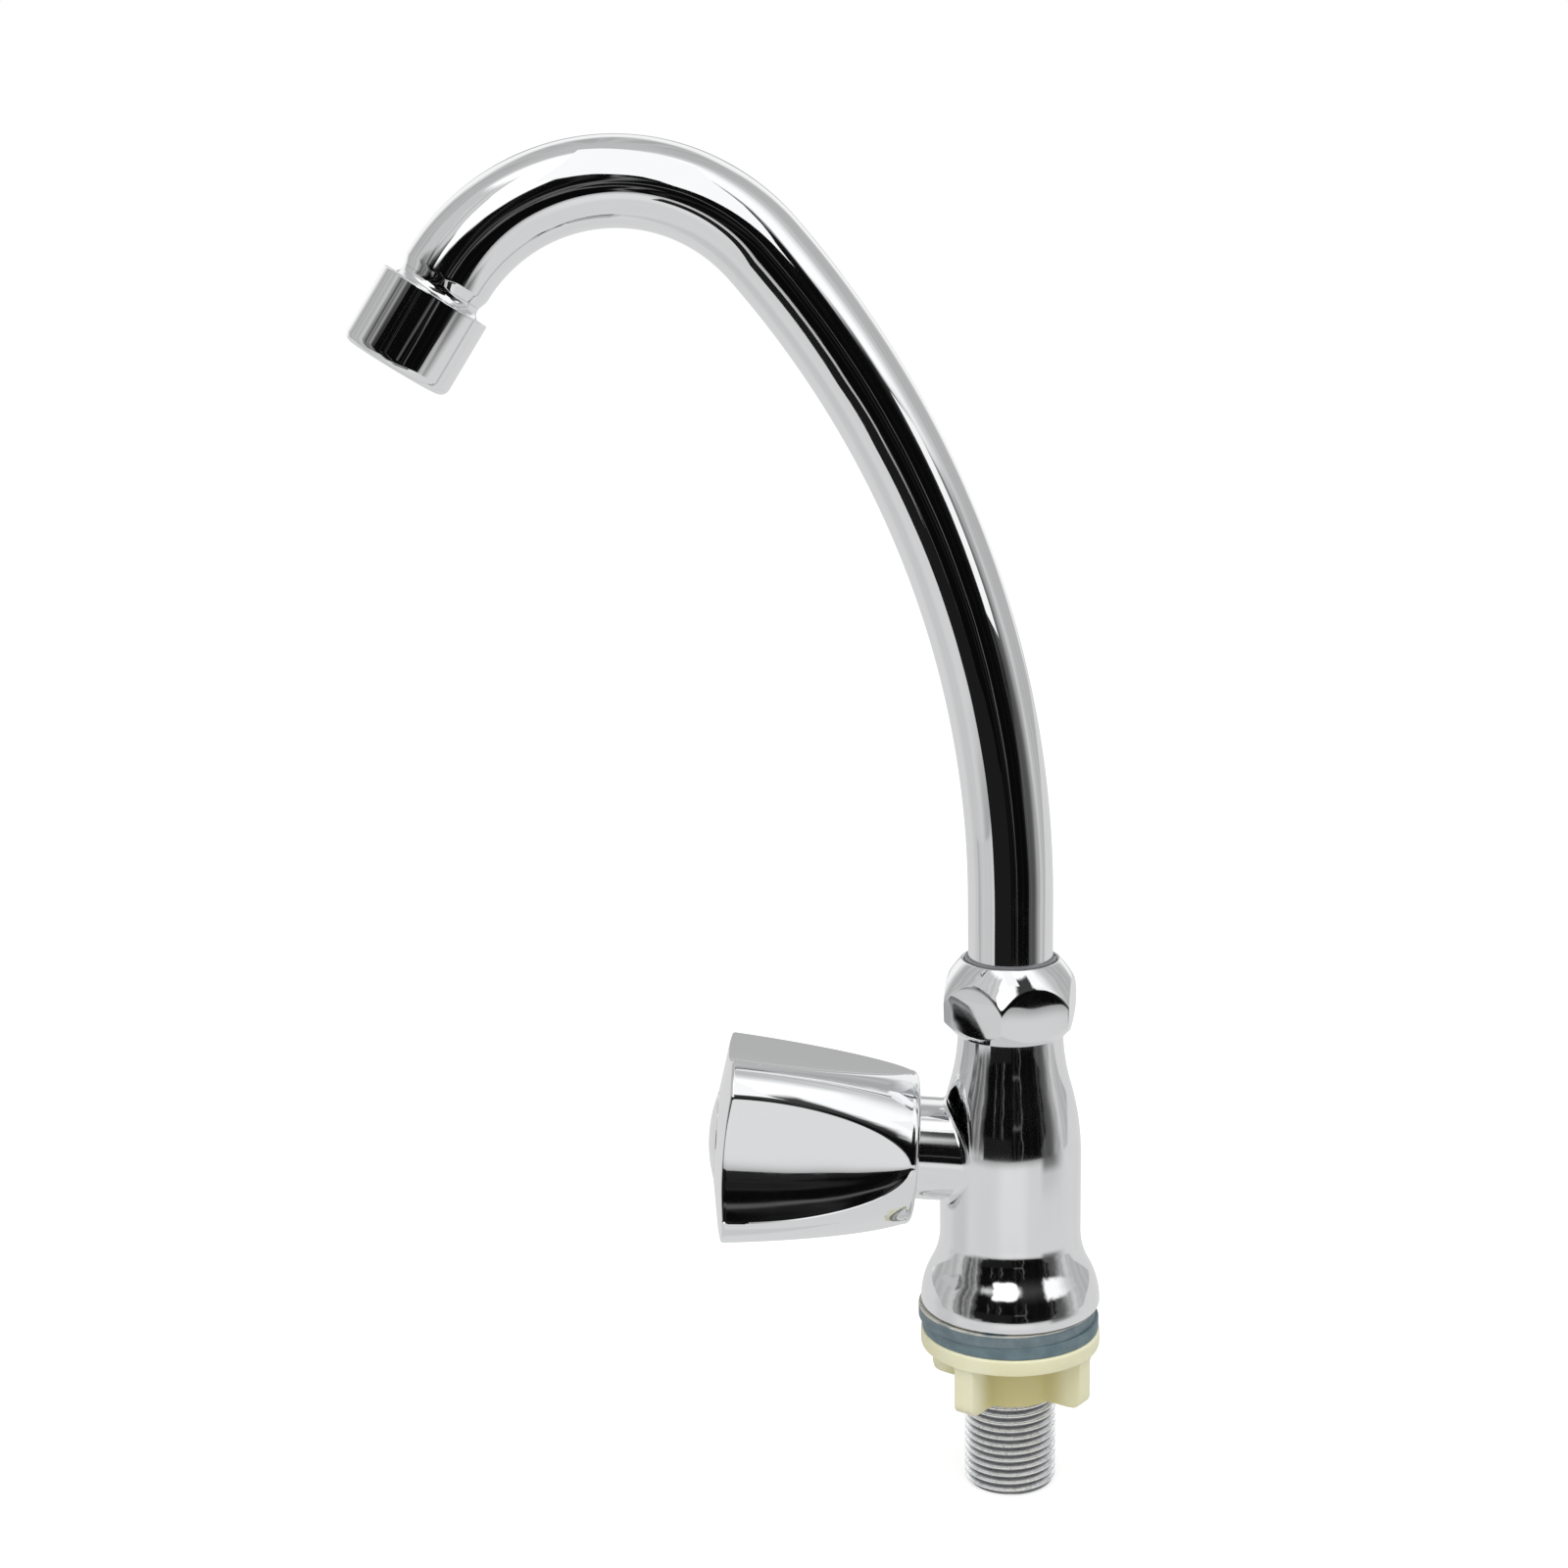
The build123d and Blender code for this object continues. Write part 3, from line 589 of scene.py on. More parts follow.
def flat_columns(count, turn, half_angle):
    """Each column's angle and its flat's middle; columns crowd at a flat's edge."""
    edge = (0, 0.009, 0.018, 0.03, 0.047, 0.07, 0.1, 0.15, 0.23, 0.35, 0.5, 0.68, 0.85, 1)
    across = [e - 1 for e in edge] + [1 - e for e in reversed(edge[:-1])]
    ridge = (0.02, 0.045, 0.08, 0.13, 0.2, 0.29, 0.4, 0.5, 0.6, 0.71, 0.8, 0.87, 0.92, 0.955, 0.98)
    step = 2 * pi / count
    gap = step - 2 * half_angle
    columns = []
    for k in range(count):
        middle = turn + 2 * pi * k / count
        columns += [(middle + half_angle * t, middle) for t in across]
        columns += [(middle + half_angle + gap * u, middle if u < 0.5 else middle + step) for u in ridge]
    return columns


# Knob
knob_middle = knob_foot + knob_middle_share * (knob_rim - knob_foot)
knob_side = three_point_arc(
    (knob_foot_radius, knob_foot_top), (knob_middle_radius, knob_middle), (knob_rim_radius, knob_side_end), 60
)

# How the front of each flat leans, in degrees, from its upper edge at -1 to its lower edge at 1
flat_lean = ((-6.6, -1), (-2.25, 0.1), (11.1, 1))


def knob_turned_radius(s):
    """The knob's radius without its flats, at a station along the valve's axis."""
    if s <= knob_foot_top:
        rise = knob_foot_top - max(s, knob_foot)
        return knob_foot_radius - knob_foot_round + sqrt(max(0, knob_foot_round ** 2 - rise ** 2))
    return value_at(knob_side, s)


def facet_level(s):
    """How far a flat lies from the valve's axis, at a station."""
    return facet_distance - facet_slope * (knob_rim - s)


def facet_dish(share, half_width):
    """How far a flat is hollowed at a share of its half width, from -1 to 1."""
    steps, total = 40, 0
    for k in range(steps):
        lean = value_at(flat_lean, -1 + (share + 1) * (k + 0.5) / steps)
        total += tan(radians(lean)) * half_width * (share + 1) / steps
    return total


def knob_radius(s, angle, middle):
    """The knob's radius with its flats, at a station and at an angle near a flat's middle."""
    radius, level = knob_turned_radius(s), facet_level(s)
    if level >= radius + 2:
        return radius
    half_width = sqrt(max(radius * radius - level * level, 0.3))
    off = angle - middle
    across = level * tan(off) / half_width
    dish = facet_dish(-across, half_width) if abs(across) <= 1 else 0
    return soft_least(radius, (level + dish) / cos(off), 0.14)


def facet_columns(s):
    """The columns of the knob at a station."""
    reach = facet_level(s) / knob_turned_radius(s)
    return flat_columns(facet_count, facet_turn, acos(min(reach, cos(radians(2.5)))))


def make_knob():
    """The knob: four hollowed flats, a conical face with the cap's seat, a hollow, its hub and its ribs."""
    stations = [knob_foot + step for step in (0.0001, 0.05, 0.15, 0.35, 0.6, 0.9, 1.3, 1.7, 2, 2.5)]
    stations += [24.4 + 0.72 * k for k in range(1, 55)]
    face_slope = (knob_face - knob_rim) / (face_radius - cap_radius - 0.05)
    inside = [(10.05, 66.87), (9.9, 66.8), (9.85, 66.6)] + stepped(
        9.85, cap_seat, stem_hole, stem_hole_foot, screw_head_hole, screw_seat, screw_hole, spindle_hole_end,
        spindle_hole, knob_hub_foot, knob_hub_radius, recess_end, recess_radius, knob_foot + 0.3
    ) + [(15.1, knob_foot + 0.08), (15.3, knob_foot)]
    profiles = []
    for column in zip(*[facet_columns(s) for s in stations]):
        angle, middle = column[-1]
        reach = knob_rim
        for _ in range(12):
            reach = knob_rim + (face_radius - knob_radius(reach, angle, middle)) * face_slope
        edge = knob_radius(reach, angle, middle)
        stretch = (reach - knob_foot) / (knob_rim - knob_foot)
        side = []
        for station, (side_angle, side_middle) in zip(stations, column):
            s = knob_foot + (station - knob_foot) * stretch
            if s < reach - 1.3:
                side.append((knob_radius(s, side_angle, side_middle), side_angle, s))
        before = (knob_radius(reach - 0.6, angle, middle), reach - 0.6)
        after = (edge - 3, reach + 3 * face_slope)
        ridge_share = max(0, min(1, (edge - 21.5) / 3))
        end = [(knob_radius(reach - 1.1, angle, middle), reach - 1.1)]
        end += corner(before, (edge, reach), after, 0.4 + 0.35 * ridge_share, 7)
        face_start, face_foot = end[-1]
        for share in (0.02, 0.06, 0.2, 0.4, 0.6, 0.8, 0.94, 0.985):
            radius = face_start + (cap_radius + 0.25 - face_start) * share
            end.append((radius, face_foot + (face_start - radius) * face_slope))
        profiles.append((side, [(radius, angle, s) for radius, s in end + inside]))
    side_rows = min(len(side) for side, _ in profiles)
    rows = zip(*[side[:side_rows] + end for side, end in profiles])
    shells = [skin([[valve.round(*point) for point in row] for row in rows])]
    for k in range(4):
        turn = pi / 2 * k
        spoke = Place(valve.origin, valve.x * cos(turn) + valve.y * sin(turn), valve.z)
        shells.append(block(spoke, (7, 15.2), (-1, 1), (40.9, 57)))
    return shells


knob = make("faceted_knob", make_knob(), knob_chrome, 30)
fit(knob, "handle", "knob_plating", "handle_knob")

# The inside of the knob has its own dull finish
knob.data.materials.append(hollow_dull)
for face in knob.data.polygons:
    p = face.center / MM - valve.origin
    along = p.dot(valve.z)
    if knob_foot + 0.02 < along < 57.2 and (p - valve.z * along).length < 15.25:
        face.material_index = 1


def make_cap():
    """The plug in the knob's end: a low dome on a disc, with a hollow stem."""
    sphere = (cap_radius ** 2 + cap_rise ** 2) / (2 * cap_rise)
    outline = stepped(cap_stem_radius, cap_seat, cap_radius, knob_face - 0.1) + [(9.72, knob_face + 0.1)]
    for k in range(24):
        r = 9.45 * (1 - k / 23)
        outline.append((r, knob_face + cap_rise - (sphere - sqrt(sphere ** 2 - r * r))))
    outline += stepped(0, cap_seat, cap_stem_bore, cap_stem_foot, cap_stem_radius)
    return turned(outline, valve, 128)


fit(make("index_cap_dome", [make_cap()], cap_chrome), "handle", "cap_plating", "index_cap")


# Spout nut
def make_spout_nut():
    """A hexagon with a coned foot and a domed top, bored for the split ring and the tube's flange."""
    edge = nut_flats / cos(pi / 6) + 0.05
    outline = corner((nut_bore, nut_foot), (nut_foot_radius, nut_foot), (edge, nut_cone_top), 0.25, 4)
    for k in range(20):
        share = 0.06 + 0.047 * k
        rise = (nut_cone_top - nut_foot) * share
        outline.append((nut_foot_radius + (edge - nut_foot_radius) * share, nut_foot + rise))
    outline += [(edge, nut_cone_top + 0.06 + 0.34 * k) for k in range(13)]
    dome_middle = ((edge + nut_top_radius) / 2 + nut_bulge, (nut_corner_top + nut_top) / 2)
    dome = three_point_arc((edge, nut_corner_top), dome_middle, (nut_top_radius, nut_top), 44)
    outline += dome[1:-1] + corner(dome[-2], dome[-1], (10.3, nut_top), 0.3, 5)
    rings = []
    for radius, z in outline:
        flat = nut_flats - 0.0050 * (z - 76.8) ** 2
        half = acos(min(max(flat / radius, cos(radians(29.6))), cos(radians(0.8))))
        ring = []
        for angle, middle in flat_columns(6, nut_turn, half):
            distance = soft_least(radius, flat / cos(angle - middle), 0.07)
            ring.append(upright.round(distance, angle, z))
        rings.append(ring)
    inside = [(10.7, nut_top), (10.5, nut_top - 0.1), (10.4, nut_top - 0.3), (nut_mouth, nut_shoulder)]
    inside += [(nut_bore, nut_shoulder), (nut_bore, nut_foot + 0.2), (12, nut_foot)]
    angles = [angle for angle, _ in flat_columns(6, nut_turn, radians(0.8))]
    rings += [[upright.round(radius, angle, z) for angle in angles] for radius, z in inside]
    return skin(rings)


fit(make("hexagon_spout_nut", [make_spout_nut()], nut_chrome, 32), "tap_body", "chromed_brass", "spout_nut")
fit(smooth_copy("spout_split_ring", "split_collar", ring_grey), "tap_body", "split_ring", "spout_split_ring")


# Spout
def spout_line():
    """Centre points of the tube in the spout's own plane, each with the tube's lean there."""
    line = [((0, z), 0) for z in (spout_foot, 84, 90, bend_start - 0.5)]
    for k in range(61):
        a = long_bend_angle * k / 60
        x, z = -long_bend_radius + long_bend_radius * cos(a), bend_start + long_bend_radius * sin(a)
        line.append(((x, z), a))
    middle_x = x - top_bend_radius * cos(long_bend_angle)
    middle_z = z - top_bend_radius * sin(long_bend_angle)
    for k in range(1, 73):
        a = long_bend_angle + top_bend_angle * k / 72
        line.append(((middle_x + top_bend_radius * cos(a), middle_z + top_bend_radius * sin(a)), a))
    return line


route = spout_line()
outlet_middle, outlet_lean = route[-1]
outlet_way = about_tap(-sin(outlet_lean), 0, cos(outlet_lean))
outlet = Place(about_tap(outlet_middle[0], 0, outlet_middle[1]), about_tap(0, 1, 0), outlet_way)


def make_spout_tube():
    """The bent tube, outside and inside, drawn in to a short neck at its outlet."""

    def ring(middle, lean, radius, along=0):
        points = []
        for angle in even_angles(144):
            off, side = radius * cos(angle), radius * sin(angle)
            x = middle[0] + off * cos(lean) - along * sin(lean)
            z = middle[1] + off * sin(lean) + along * cos(lean)
            points.append(about_tap(x, side, z) * MM)
        return points

    rings = [ring(middle, lean, tube_radius) for middle, lean in route]
    neck = corner((tube_radius, -3), (tube_radius, 0.15), (tube_neck_radius, 2.2), 3, 7)
    neck += [(8.85, 1.95)] + stepped(tube_neck_radius, 2.2, tube_neck_bore, 1) + [(tube_bore, 0)]
    rings += [ring(outlet_middle, outlet_lean, radius, along) for radius, along in neck]
    rings += [ring(middle, lean, tube_bore) for middle, lean in reversed(route)]
    return skin(rings)


fit(make("swan_neck_tube", [make_spout_tube()], tube_chrome), "spout", "chromed_tube", "spout_tube")

adaptor_outline = stepped(adaptor_bore, 0, 7.95, 2.2)
adaptor_outline += three_point_arc((tube_neck_radius, 2.25), (8.935, 3.58), (9.55, 4.35), 12)
adaptor_outline += [(9.68, 4.42)] + stepped(9.7, collar_foot, adaptor_thread, adaptor_end, adaptor_bore)
adaptor = make("outlet_collar", [turned(adaptor_outline, outlet, 144)], tube_chrome)
fit(adaptor, "spout", "chromed_tube", "outlet_adaptor")

housing_outline = [(housing_bore, collar_foot), (housing_radius, collar_foot, 0.3)]
housing_outline += [(housing_radius, housing_end, 2), (outlet_radius, housing_end, 0.2)]
housing_outline += [(outlet_radius, lip_height), (housing_bore, lip_height)]
housing = make("aerator_shell", [turned(housing_outline, outlet)], tube_chrome)
fit(housing, "spout", "chromed_tube", "aerator_housing")


def make_screens():
    """Two woven wire screens: wires laid both ways, each going over and under the next."""
    sides = 5
    shells = []
    for level in screen_levels:
        for way in (0, 1):
            count = int(9.2 / wire_gap)
            for k in range(-count, count + 1):
                off = k * wire_gap
                reach = sqrt(screen_radius ** 2 - off * off)
                steps = max(6, int(2 * reach / wire_gap * 4))
                rings = []
                for i in range(steps + 1):
                    along = -reach + 2 * reach * i / steps
                    rise = wire_rise * cos(pi * along / wire_gap) * (1 if (k + way) % 2 else -1)
                    ring = []
                    for a in even_angles(sides):
                        across, height = off + wire_radius * cos(a), level + rise + wire_radius * sin(a)
                        spot = (along, across) if way else (across, along)
                        ring.append(outlet.at(*spot, height))
                    rings.append(ring)
                points, faces = skin(rings, closed=False)
                faces += [tuple(reversed(range(sides))), tuple(len(points) - sides + j for j in range(sides))]
                shells.append((points, faces))
    return make("woven_screens", shells, screen_wire, 180)


# Washers and back nut
upper = Place((-washer_shift, 0, 0), (1, 0, 0), (0, 0, 1))
outline = [(washer_bore, 0), (washer_radius, 0.01, 0.1), (washer_radius, 2.88, 0.22)]
outline.append((washer_bore, washer_thickness))
upper_washer = make("upper_rubber_washer", [turned(outline, upper)], washer_with_rim_highlight)
fit(upper_washer, "tap_body", "washer_rubber", "upper_washer")

turned_over = [(radius, -z, *rounding) for radius, z, *rounding in reversed(outline)]
lower_washer = make("lower_rubber_washer", [turned(turned_over)], washer_blue)
fit(lower_washer, "clamp_washer", "washer_rubber", "lower_washer")


def blend_step(value):
    """Goes softly from 0 to 1 with the value."""
    value = max(0, min(1, value))
    return value * value * (3 - 2 * value)


def grip_distance(angle, reach):
    """How far out the back nut's grip lies at an angle: the hub, or a wing with soft roots."""
    off = (angle - wing_turn + pi / 4) % (pi / 2) - pi / 4
    wing = soft_least(wing_half / max(abs(sin(off)), 1e-4), reach / cos(off), 0.28)
    return -soft_least(-wing, -hub_radius, 0.75)


def make_back_nut():
    """A round flange whose rim runs down into four wings, with a thin hub between them."""
    columns = 288
    flange_top = -washer_thickness
    flange_foot = flange_top - flange_thickness

    def grip_ring(z, share=1, reach=wing_reach, grow=0):
        """A ring between the flange's circle, share 0, and the grip's outline, share 1."""
        ring = []
        for angle in even_angles(columns):
            radius = flange_radius + (grip_distance(angle, reach) - flange_radius) * share + grow
            ring.append(upright.round(radius, angle, z))
        return ring

    edge = corner((19, flange_top), (flange_radius, flange_top), (flange_radius, -6), 0.7)
    rings = upright.rings(edge, columns)
    rings += [grip_ring(flange_top - 1.4, 0), grip_ring(flange_foot + 0.9, 0)]
    rings.append(grip_ring(flange_foot + 0.45, 0.012))
    for share in (0.03, 0.08, 0.16, 0.3, 0.5, 0.7, 0.84, 0.93, 0.975, 1):
        drop = 0.45 * (1 - sqrt(max(0, 1 - (2 * share) ** 2)))
        rise = 1.3 * blend_step((share - 0.7) / 0.3) ** 2
        rings.append(grip_ring(flange_foot + 0.45 - drop - rise, share))
    for z in (flange_foot - 2.2, flange_foot - 4.5, flange_foot - 6.5, back_nut_foot + 3.2):
        rings.append(grip_ring(z))
    for k in range(9):
        a = pi / 2 * k / 8
        z = back_nut_foot + wing_round - wing_round * sin(a)
        rings.append(grip_ring(z, 1, wing_reach - wing_round * (1 - cos(a)), -0.3 * (1 - cos(a))))
    inside = [(11.4, back_nut_foot), (11.2, back_nut_foot + 0.02), (10.9, back_nut_foot + 0.3)]
    inside += [(back_nut_bore, back_nut_foot + 0.7), (back_nut_bore, flange_top - 0.4), (10.9, flange_top)]
    return skin(rings + upright.rings(inside, columns))


fit(make("winged_back_nut", [make_back_nut()], nut_cream, 60), "clamp_nut", "nut_nylon", "back_nut")


# Threaded tail
def tree_mesh(group, sizes, crease):
    """Runs a Geometry Nodes tree with its sizes and gives the result as a plain mesh."""
    holder = placed(group.name, bpy.data.meshes.new(group.name))
    modifier = holder.modifiers.new("make", "NODES")
    modifier.node_group = group
    for item in group.interface.items_tree:
        if item.item_type == "SOCKET" and item.in_out == "INPUT":
            modifier[item.identifier] = float(sizes[item.name])
    view = bpy.context.evaluated_depsgraph_get()
    mesh = bpy.data.meshes.new_from_object(holder.evaluated_get(view))
    holder.modifiers.clear()
    bpy.data.objects.remove(holder)
    finish_mesh(mesh, crease)
    return mesh


thread_columns = 96


def make_thread():
    """The tail's cut thread: one helical surface from the foot up into the casting."""
    turns, rows = 32, 12
    sizes = {"Pitch": thread_pitch, "Crest": thread_radius, "Depth": thread_depth,
             "Foot": tail_foot, "Top": tail_top, "Chamfer": tail_chamfer}
    group = bpy.data.node_groups.new("cut_thread", "GeometryNodeTree")
    group.interface.new_socket("Geometry", in_out="OUTPUT", socket_type="NodeSocketGeometry")
    for label in sizes:
        group.interface.new_socket(label, in_out="INPUT", socket_type="NodeSocketFloat")
    tree = Nodes(group)
    given = tree.add("NodeGroupInput")
    pitch, crest, depth, foot, top, chamfer = [given.out(label) for label in sizes]
    grid = tree.add("GeometryNodeMeshGrid", {0: 1, 1: 1, 2: thread_columns + 1, 3: turns * rows + 1})
    x, y, _ = tree.axes(tree.add("GeometryNodeInputPosition"))
    around = x + 0.5
    along = (y + 0.5) * turns
    # the cut's form along one turn: flat crest, straight flanks, flat root
    phase = (along + 1e-5).math("FRACT")
    form = ((phase * (2 * pi)).math("COSINE") * 1.35).math("MAXIMUM", -1).math("MINIMUM", 1)
    height = ((along + around - 1) * pitch + foot).math("MAXIMUM", foot).math("MINIMUM", top)
    radius = (crest - (1 - form) * (depth * 0.5)).math("MINIMUM", (crest - chamfer) + (height - foot))
    angle = around * (2 * pi)
    spots = {0: radius * angle.math("COSINE") * MM, 1: radius * angle.math("SINE") * MM, 2: height * MM}
    spot = tree.add("ShaderNodeCombineXYZ", spots)
    moved = tree.add("GeometryNodeSetPosition", {"Geometry": grid, "Position": spot})
    real = tree.add("GeometryNodeRealizeInstances", {0: moved})
    done = tree.add("GeometryNodeSetMaterial", {"Geometry": real, "Material": tail_chrome})
    tree.add("NodeGroupOutput", {0: done})
    return tree_mesh(group, sizes, 180)


def make_tail():
    """The thread's surface and the tail's bore, joined at both ends."""
    thread = make_thread()
    outside = ([v.co.copy() for v in thread.vertices], [tuple(p.vertices) for p in thread.polygons])
    bore = [(9.5776, tail_foot), (7.4, tail_foot), (7.1, tail_foot + 0.1), (tail_bore, tail_foot + 0.4)]
    bore += [(tail_bore, tail_top), (9.3, tail_top)]
    inside = skin(upright.rings(bore, thread_columns), closed=False)
    return make("threaded_tail_cut", [outside, inside], tail_chrome, 50)


fit(make_tail(), "tap_body", "tail_plating", "threaded_tail")
fit(make_screens(), "spout", "screen_steel", "aerator_screens")

# Solids whose shape is right
kept = {
    bare_brass: ("spout_tailpiece", "valve_bonnet", "valve_spindle"),
    seal_black: ("spout_seals", "aerator_washer", "bonnet_seal", "seat_seal", "spindle_seals"),
    insert_grey: ("aerator_insert",),
    disc_white: ("fixed_disc", "moving_disc"),
    screw_zinc: ("handle_screw",),
    clip_spring: ("spindle_clip",),
}
for finish, nodes in kept.items():
    for node in nodes:
        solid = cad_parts[node]
        if not solid.material_slots:
            solid.data.materials.append(finish)
        for place in solid.material_slots:
            place.material = finish


# Stage
def stage_piece(name, points, faces, material):
    """A sheet of the studio, which isn't part of the tap."""
    mesh = bpy.data.meshes.new(name)
    mesh.from_pydata(points, [], faces)
    mesh.materials.append(material)
    sheet = placed(name, mesh)
    return sheet


def floor_finish():
    """A pale floor that keeps the tap's shadow and looks nearly white to the camera."""
    nodes = Finish("pale_floor")
    seen = nodes.add("ShaderNodeLightPath").out("Is Camera Ray")
    matt = nodes.add("ShaderNodeBsdfDiffuse", {"Color": (0.52, 0.52, 0.52, 1)})
    glow = nodes.add("ShaderNodeEmission", {"Color": (0.60, 0.60, 0.60, 1), "Strength": seen})
    return nodes.end(nodes.add("ShaderNodeAddShader", {0: matt, 1: glow}))


level = tail_foot * MM - 0.0002
floor_corners = [(-9, -9, level), (9, -9, level), (9, 9, level), (-9, 9, level)]
floor = stage_piece("floor", floor_corners, [(0, 1, 2, 3)], floor_finish())
floor.visible_glossy = False


def card(name, points, faces, shade):
    """A studio card that only mirrors see, of one shade or of a shade that changes over it."""
    nodes = Finish(name)
    strength = shade(nodes) if callable(shade) else shade
    glow = nodes.add("ShaderNodeEmission", {"Color": (1, 1, 1, 1), "Strength": strength})
    sheet = stage_piece(name, points, faces, nodes.end(glow))
    sheet.visible_camera = sheet.visible_diffuse = sheet.visible_shadow = False


def strip_card(name, edges, shade, start, end, steps):
    """A card round the tap between two edges, which give their reach and height at a side in degrees."""
    points = []
    for k in range(steps + 1):
        side = start + (end - start) * k / steps
        for reach, height in edges(side):
            points.append((reach * sin(radians(side)), -reach * cos(radians(side)), height))
    card(name, points, [(2 * k, 2 * k + 1, 2 * k + 3, 2 * k + 2) for k in range(steps)], shade)


def table_edges(side):
    """The light table's middle and its edge: near in front, and farther off behind the tap."""
    return (0, -0.15), (0.80 + max(0, abs(side) - 100) / 10, -0.15)


def table_shade(nodes):
    """The light table: even, brighter in front, dim towards its right front corner and its far front."""
    x, y, _ = nodes.axes()
    reach, side = from_axis(x, y), side_of(x, y)
    apart = side.math("ABSOLUTE")
    shade = 0.72 + 0.09 * (1 - apart.between(12, 30)) * reach.between(0.36, 0.46)
    shade = shade - 0.09 * side.between(-122, -104) * (1 - side.between(-88, -70))
    dim = side.between(41, 52) * (1 - side.between(64, 96))
    shade = shade * (1 - 0.68 * (dim * reach.between(0.45, 0.65)))
    shade = shade * (0.95 + 0.1 * nodes.noise(5))
    return shade * (1 - 0.42 * (reach.between(0.60, 0.80) * (1 - apart.between(60, 80))))


strip_card("light_table", table_edges, table_shade, -180, 180, 120)

# A white sheet over the front of the top bend, seen along its crown; its outline in millimetres
reflector = ((-90, -20), (-100, -42), (-90, -48), (-80, -52), (-62, -70), (-50, -95), (-38, -130))
reflector += ((-28, -160), (47, -160), (26, -130), (12, -106), (0, -84), (-15, -62), (-34, -41))
reflector += ((-52, -28), (-60, -20))
card("bend_reflector", [(x * MM, y * MM, 0.268) for x, y in reflector], [tuple(range(len(reflector)))], 1.1)

# Upright strips beside the tap: dark to the left of the tube's foot, bright to the right of its top
strip_card("dark_flag", lambda side: ((0.40, -0.052), (0.40, 0.02)), 0.012, -48, -3, 24)
strip_card("side_strip", lambda side: ((0.25, 0.160), (0.25, 0.27)), 1.05, 47, 62, 24)


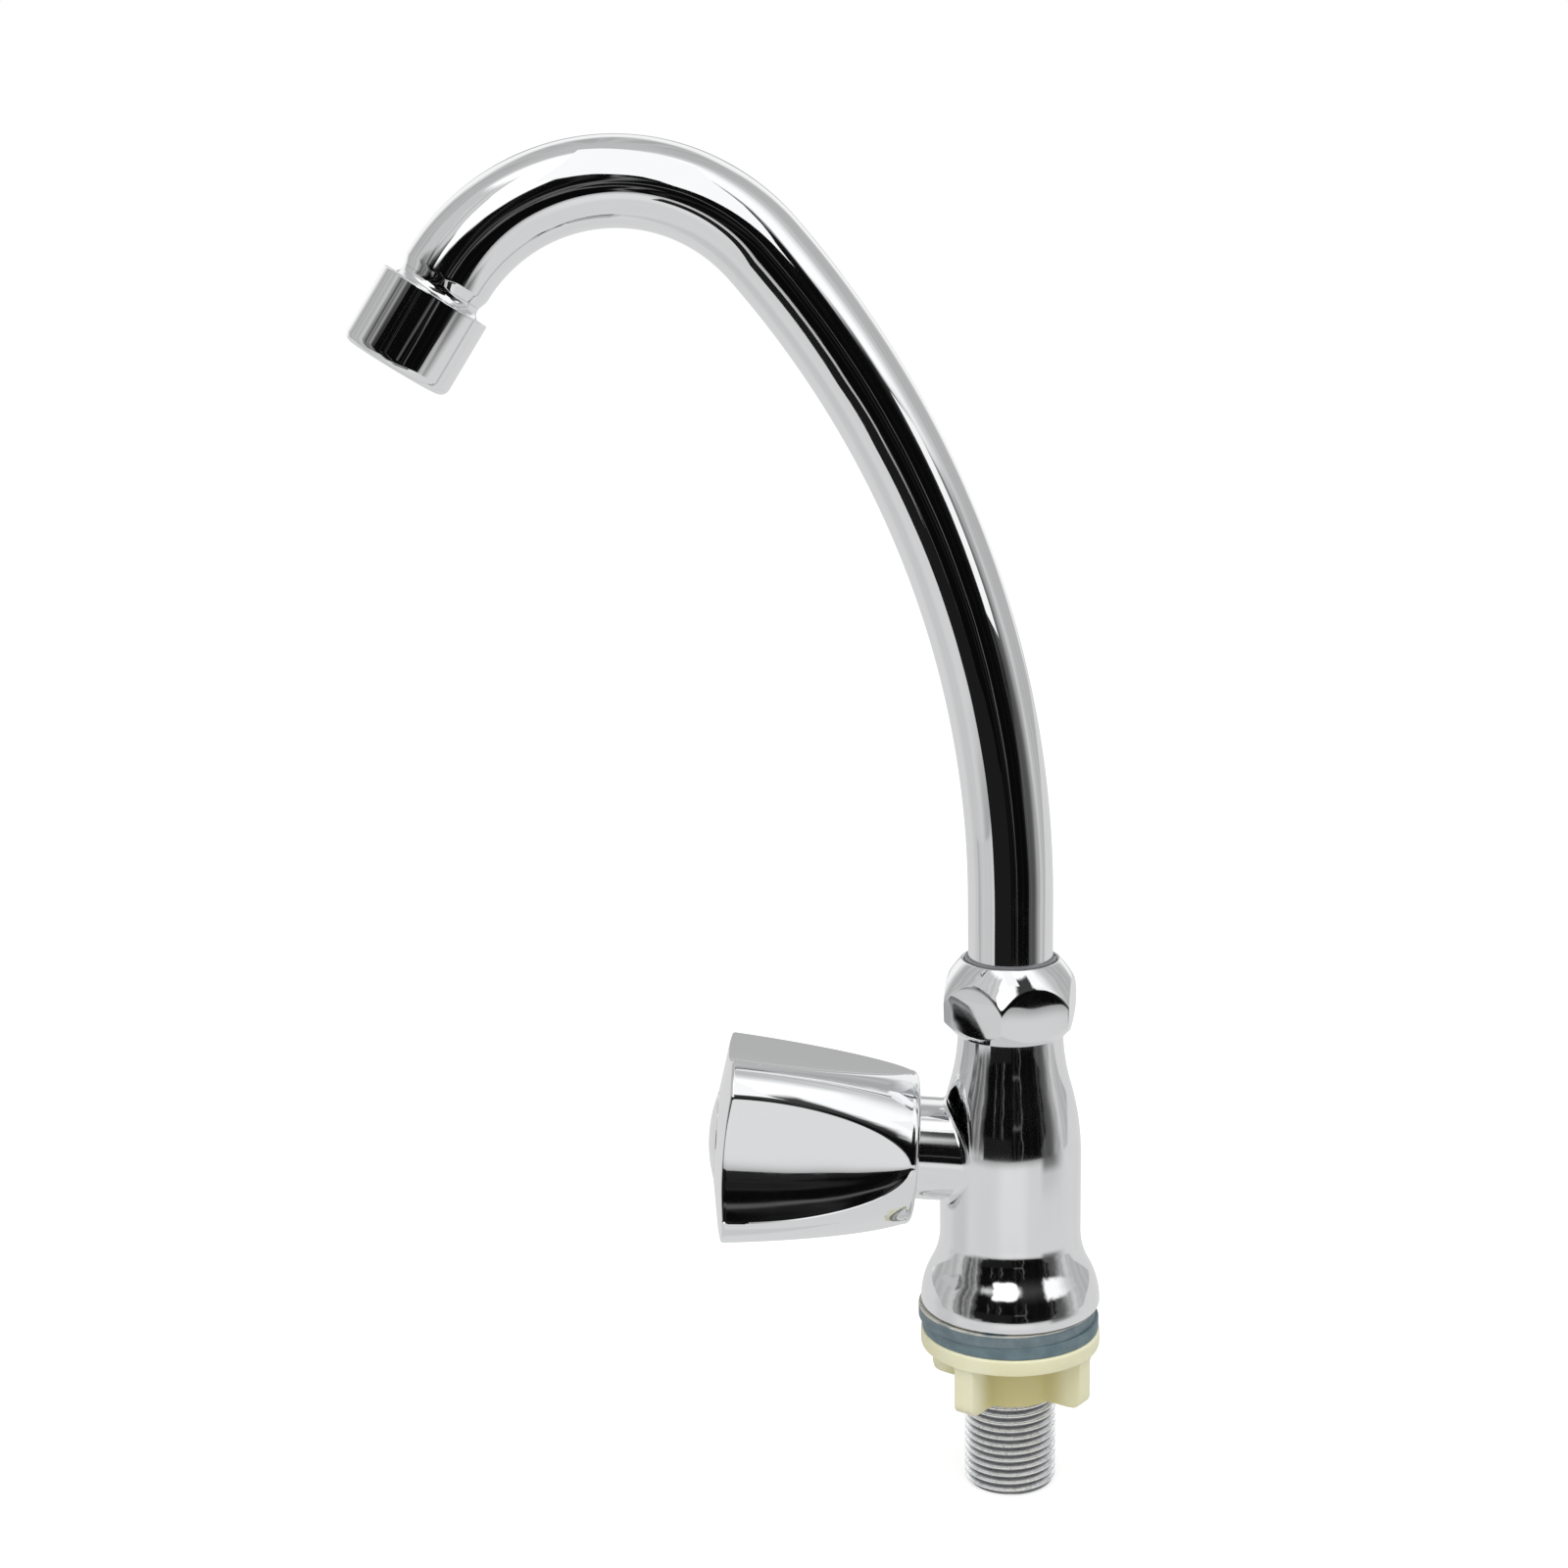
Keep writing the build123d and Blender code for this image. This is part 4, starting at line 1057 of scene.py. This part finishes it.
def light_world():
    """White behind the tap; chrome mirrors a studio: softboxes, pale sides and a dark front."""
    world = bpy.data.worlds.new("studio")
    bpy.context.scene.world = world
    world.use_nodes = True
    nodes = Nodes(world.node_tree)
    way = nodes.add("ShaderNodeTexCoord")
    x, y, z = nodes.axes(way)
    wavy = nodes.noise(7, where=way) - 0.5
    # directions in degrees: the side as about the tap, and the level from the horizon up
    side = side_of(x, y) + 10 * wavy
    level = z.math("ARCSINE") * (180 / pi) + 6 * wavy
    apart = side.math("ABSOLUTE")

    def streaks(scale, detail):
        """Upright streaks, from a noise on the side alone."""
        sockets = {"W": side * scale, "Scale": 1, "Detail": detail}
        return nodes.add("ShaderNodeTexNoise", sockets, noise_dimensions="1D")

    fine = streaks(0.16, 3)
    deep = 0.003 + 0.05 * fine.between(0.55, 0.80)
    drawn_in = side / (1 + 0.19 * level.between(-11, -3))
    gaps = side.band(-33.6, -32.8, 0.5) + side.band(-18.2, -17, 0.5)
    gaps = gaps + side.band(13.4, 14.6, 0.5) + side.band(50.5, 51.5, 0.5)
    right_box = side.band(46, 97, 3) * (level + 0.12 * (side - 46)).band(17, 64, 3)
    across, along = (side + 12.8) / 20, (level - 42.5) / 21.5
    outward = (across * across).math("POWER", 2) + (along * along).math("POWER", 2)
    front_box = 1 - outward.between(0.62, 1.12)
    up = z.math("MAXIMUM", 0.02)
    top_box = (x / up).band(-0.72, 0.62, 0.1) * (-y / up).band(0.14, 2.2, 0.09) * level.between(56, 62)
    light = over(0.63, apart.between(88, 100), 0.50) * (0.90 + 0.2 * streaks(0.09, 2).between(0.35, 0.65))
    layers = (
        # over pale walls a ceiling, a bright back wall and its darker middle
        (level.between(62, 80), 0.56),
        (apart.between(132, 150) * level.band(-50, 46, 6), 1.02),
        (apart.between(163, 168) * level.band(-5, 22, 2), 0.49),
        # streaked grey to the left of the dark front, and a dark grey that fades out to its right
        (side.band(-82, -47, 3) * level.band(-12, 34, 3), 0.10 + 0.26 * fine.between(0.35, 0.68)),
        ((1 - side.between(60, 92)) * side.between(43, 48) * level.band(-60, 16, 4), 0.09),
        # the dark front, narrower below the horizon, and its taller right part
        (drawn_in.band(-44, 46, 4.5) * (1 - level.between(25, 34)), deep),
        (drawn_in.band(9, 46, 3) * (1 - level.between(55, 62)), deep + 0.05 * level.between(12, 40)),
        # thin bright gaps in it
        (gaps * level.band(-40, 16, 3), 0.14),
        (level.band(-0.2, 1.8, 0.7) * side.band(0, 13, 2), 0.10),
        # softboxes to the right, in front with rounded corners, and overhead
        (right_box, 1.15 - 0.55 * side.between(62, 92)),
        (front_box.math("MAXIMUM", top_box), 1.25),
    )
    for share, shade in layers:
        light = over(light, share, shade)

    # Mirrors see all this, matt surfaces a plain soft light and the camera plain white
    rays = nodes.add("ShaderNodeLightPath")
    strength = over(0.60 + 0.45 * level.between(-20, 60), rays.out("Is Glossy Ray"), light)
    strength = over(strength, rays.out("Is Camera Ray"), 1)
    sky = nodes.add("ShaderNodeBackground", {"Color": (1, 1, 1, 1), "Strength": strength})
    nodes.add("ShaderNodeOutputWorld", {"Surface": sky})


light_world()

lamp_data = bpy.data.lights.new("softbox_lamp", "AREA")
lamp_data.shape, lamp_data.size, lamp_data.size_y, lamp_data.energy = "RECTANGLE", 1.1, 0.9, 9
lamp = placed("softbox_lamp", lamp_data)
lamp.location = (-0.15, -0.55, 1.35)
lamp.rotation_euler = (Vector((0, 0, 0.1)) - lamp.location).to_track_quat("-Z", "Y").to_euler()
lamp.visible_glossy = False

# Camera
yaw, pitch, roll = radians(0.43), radians(12.34), radians(-0.98)
ahead = Vector((sin(yaw) * cos(pitch), cos(yaw) * cos(pitch), -sin(pitch)))
level_right = Vector((cos(yaw), -sin(yaw), 0))
level_above = level_right.cross(ahead)
right = level_right * cos(roll) + level_above * sin(roll)
above = level_above * cos(roll) - level_right * sin(roll)
lens = bpy.data.cameras.new("camera")
lens.lens, lens.sensor_width, lens.sensor_fit = 62.56, 36, "HORIZONTAL"
lens.clip_start, lens.clip_end = 0.02, 60
camera = placed("camera", lens)
camera.matrix_world = Matrix((right, above, -ahead)).transposed().to_4x4()
camera.location = (-0.0543, -0.5857, 0.2535)
bpy.context.scene.camera = camera
bpy.context.scene.view_settings.view_transform = "Standard"
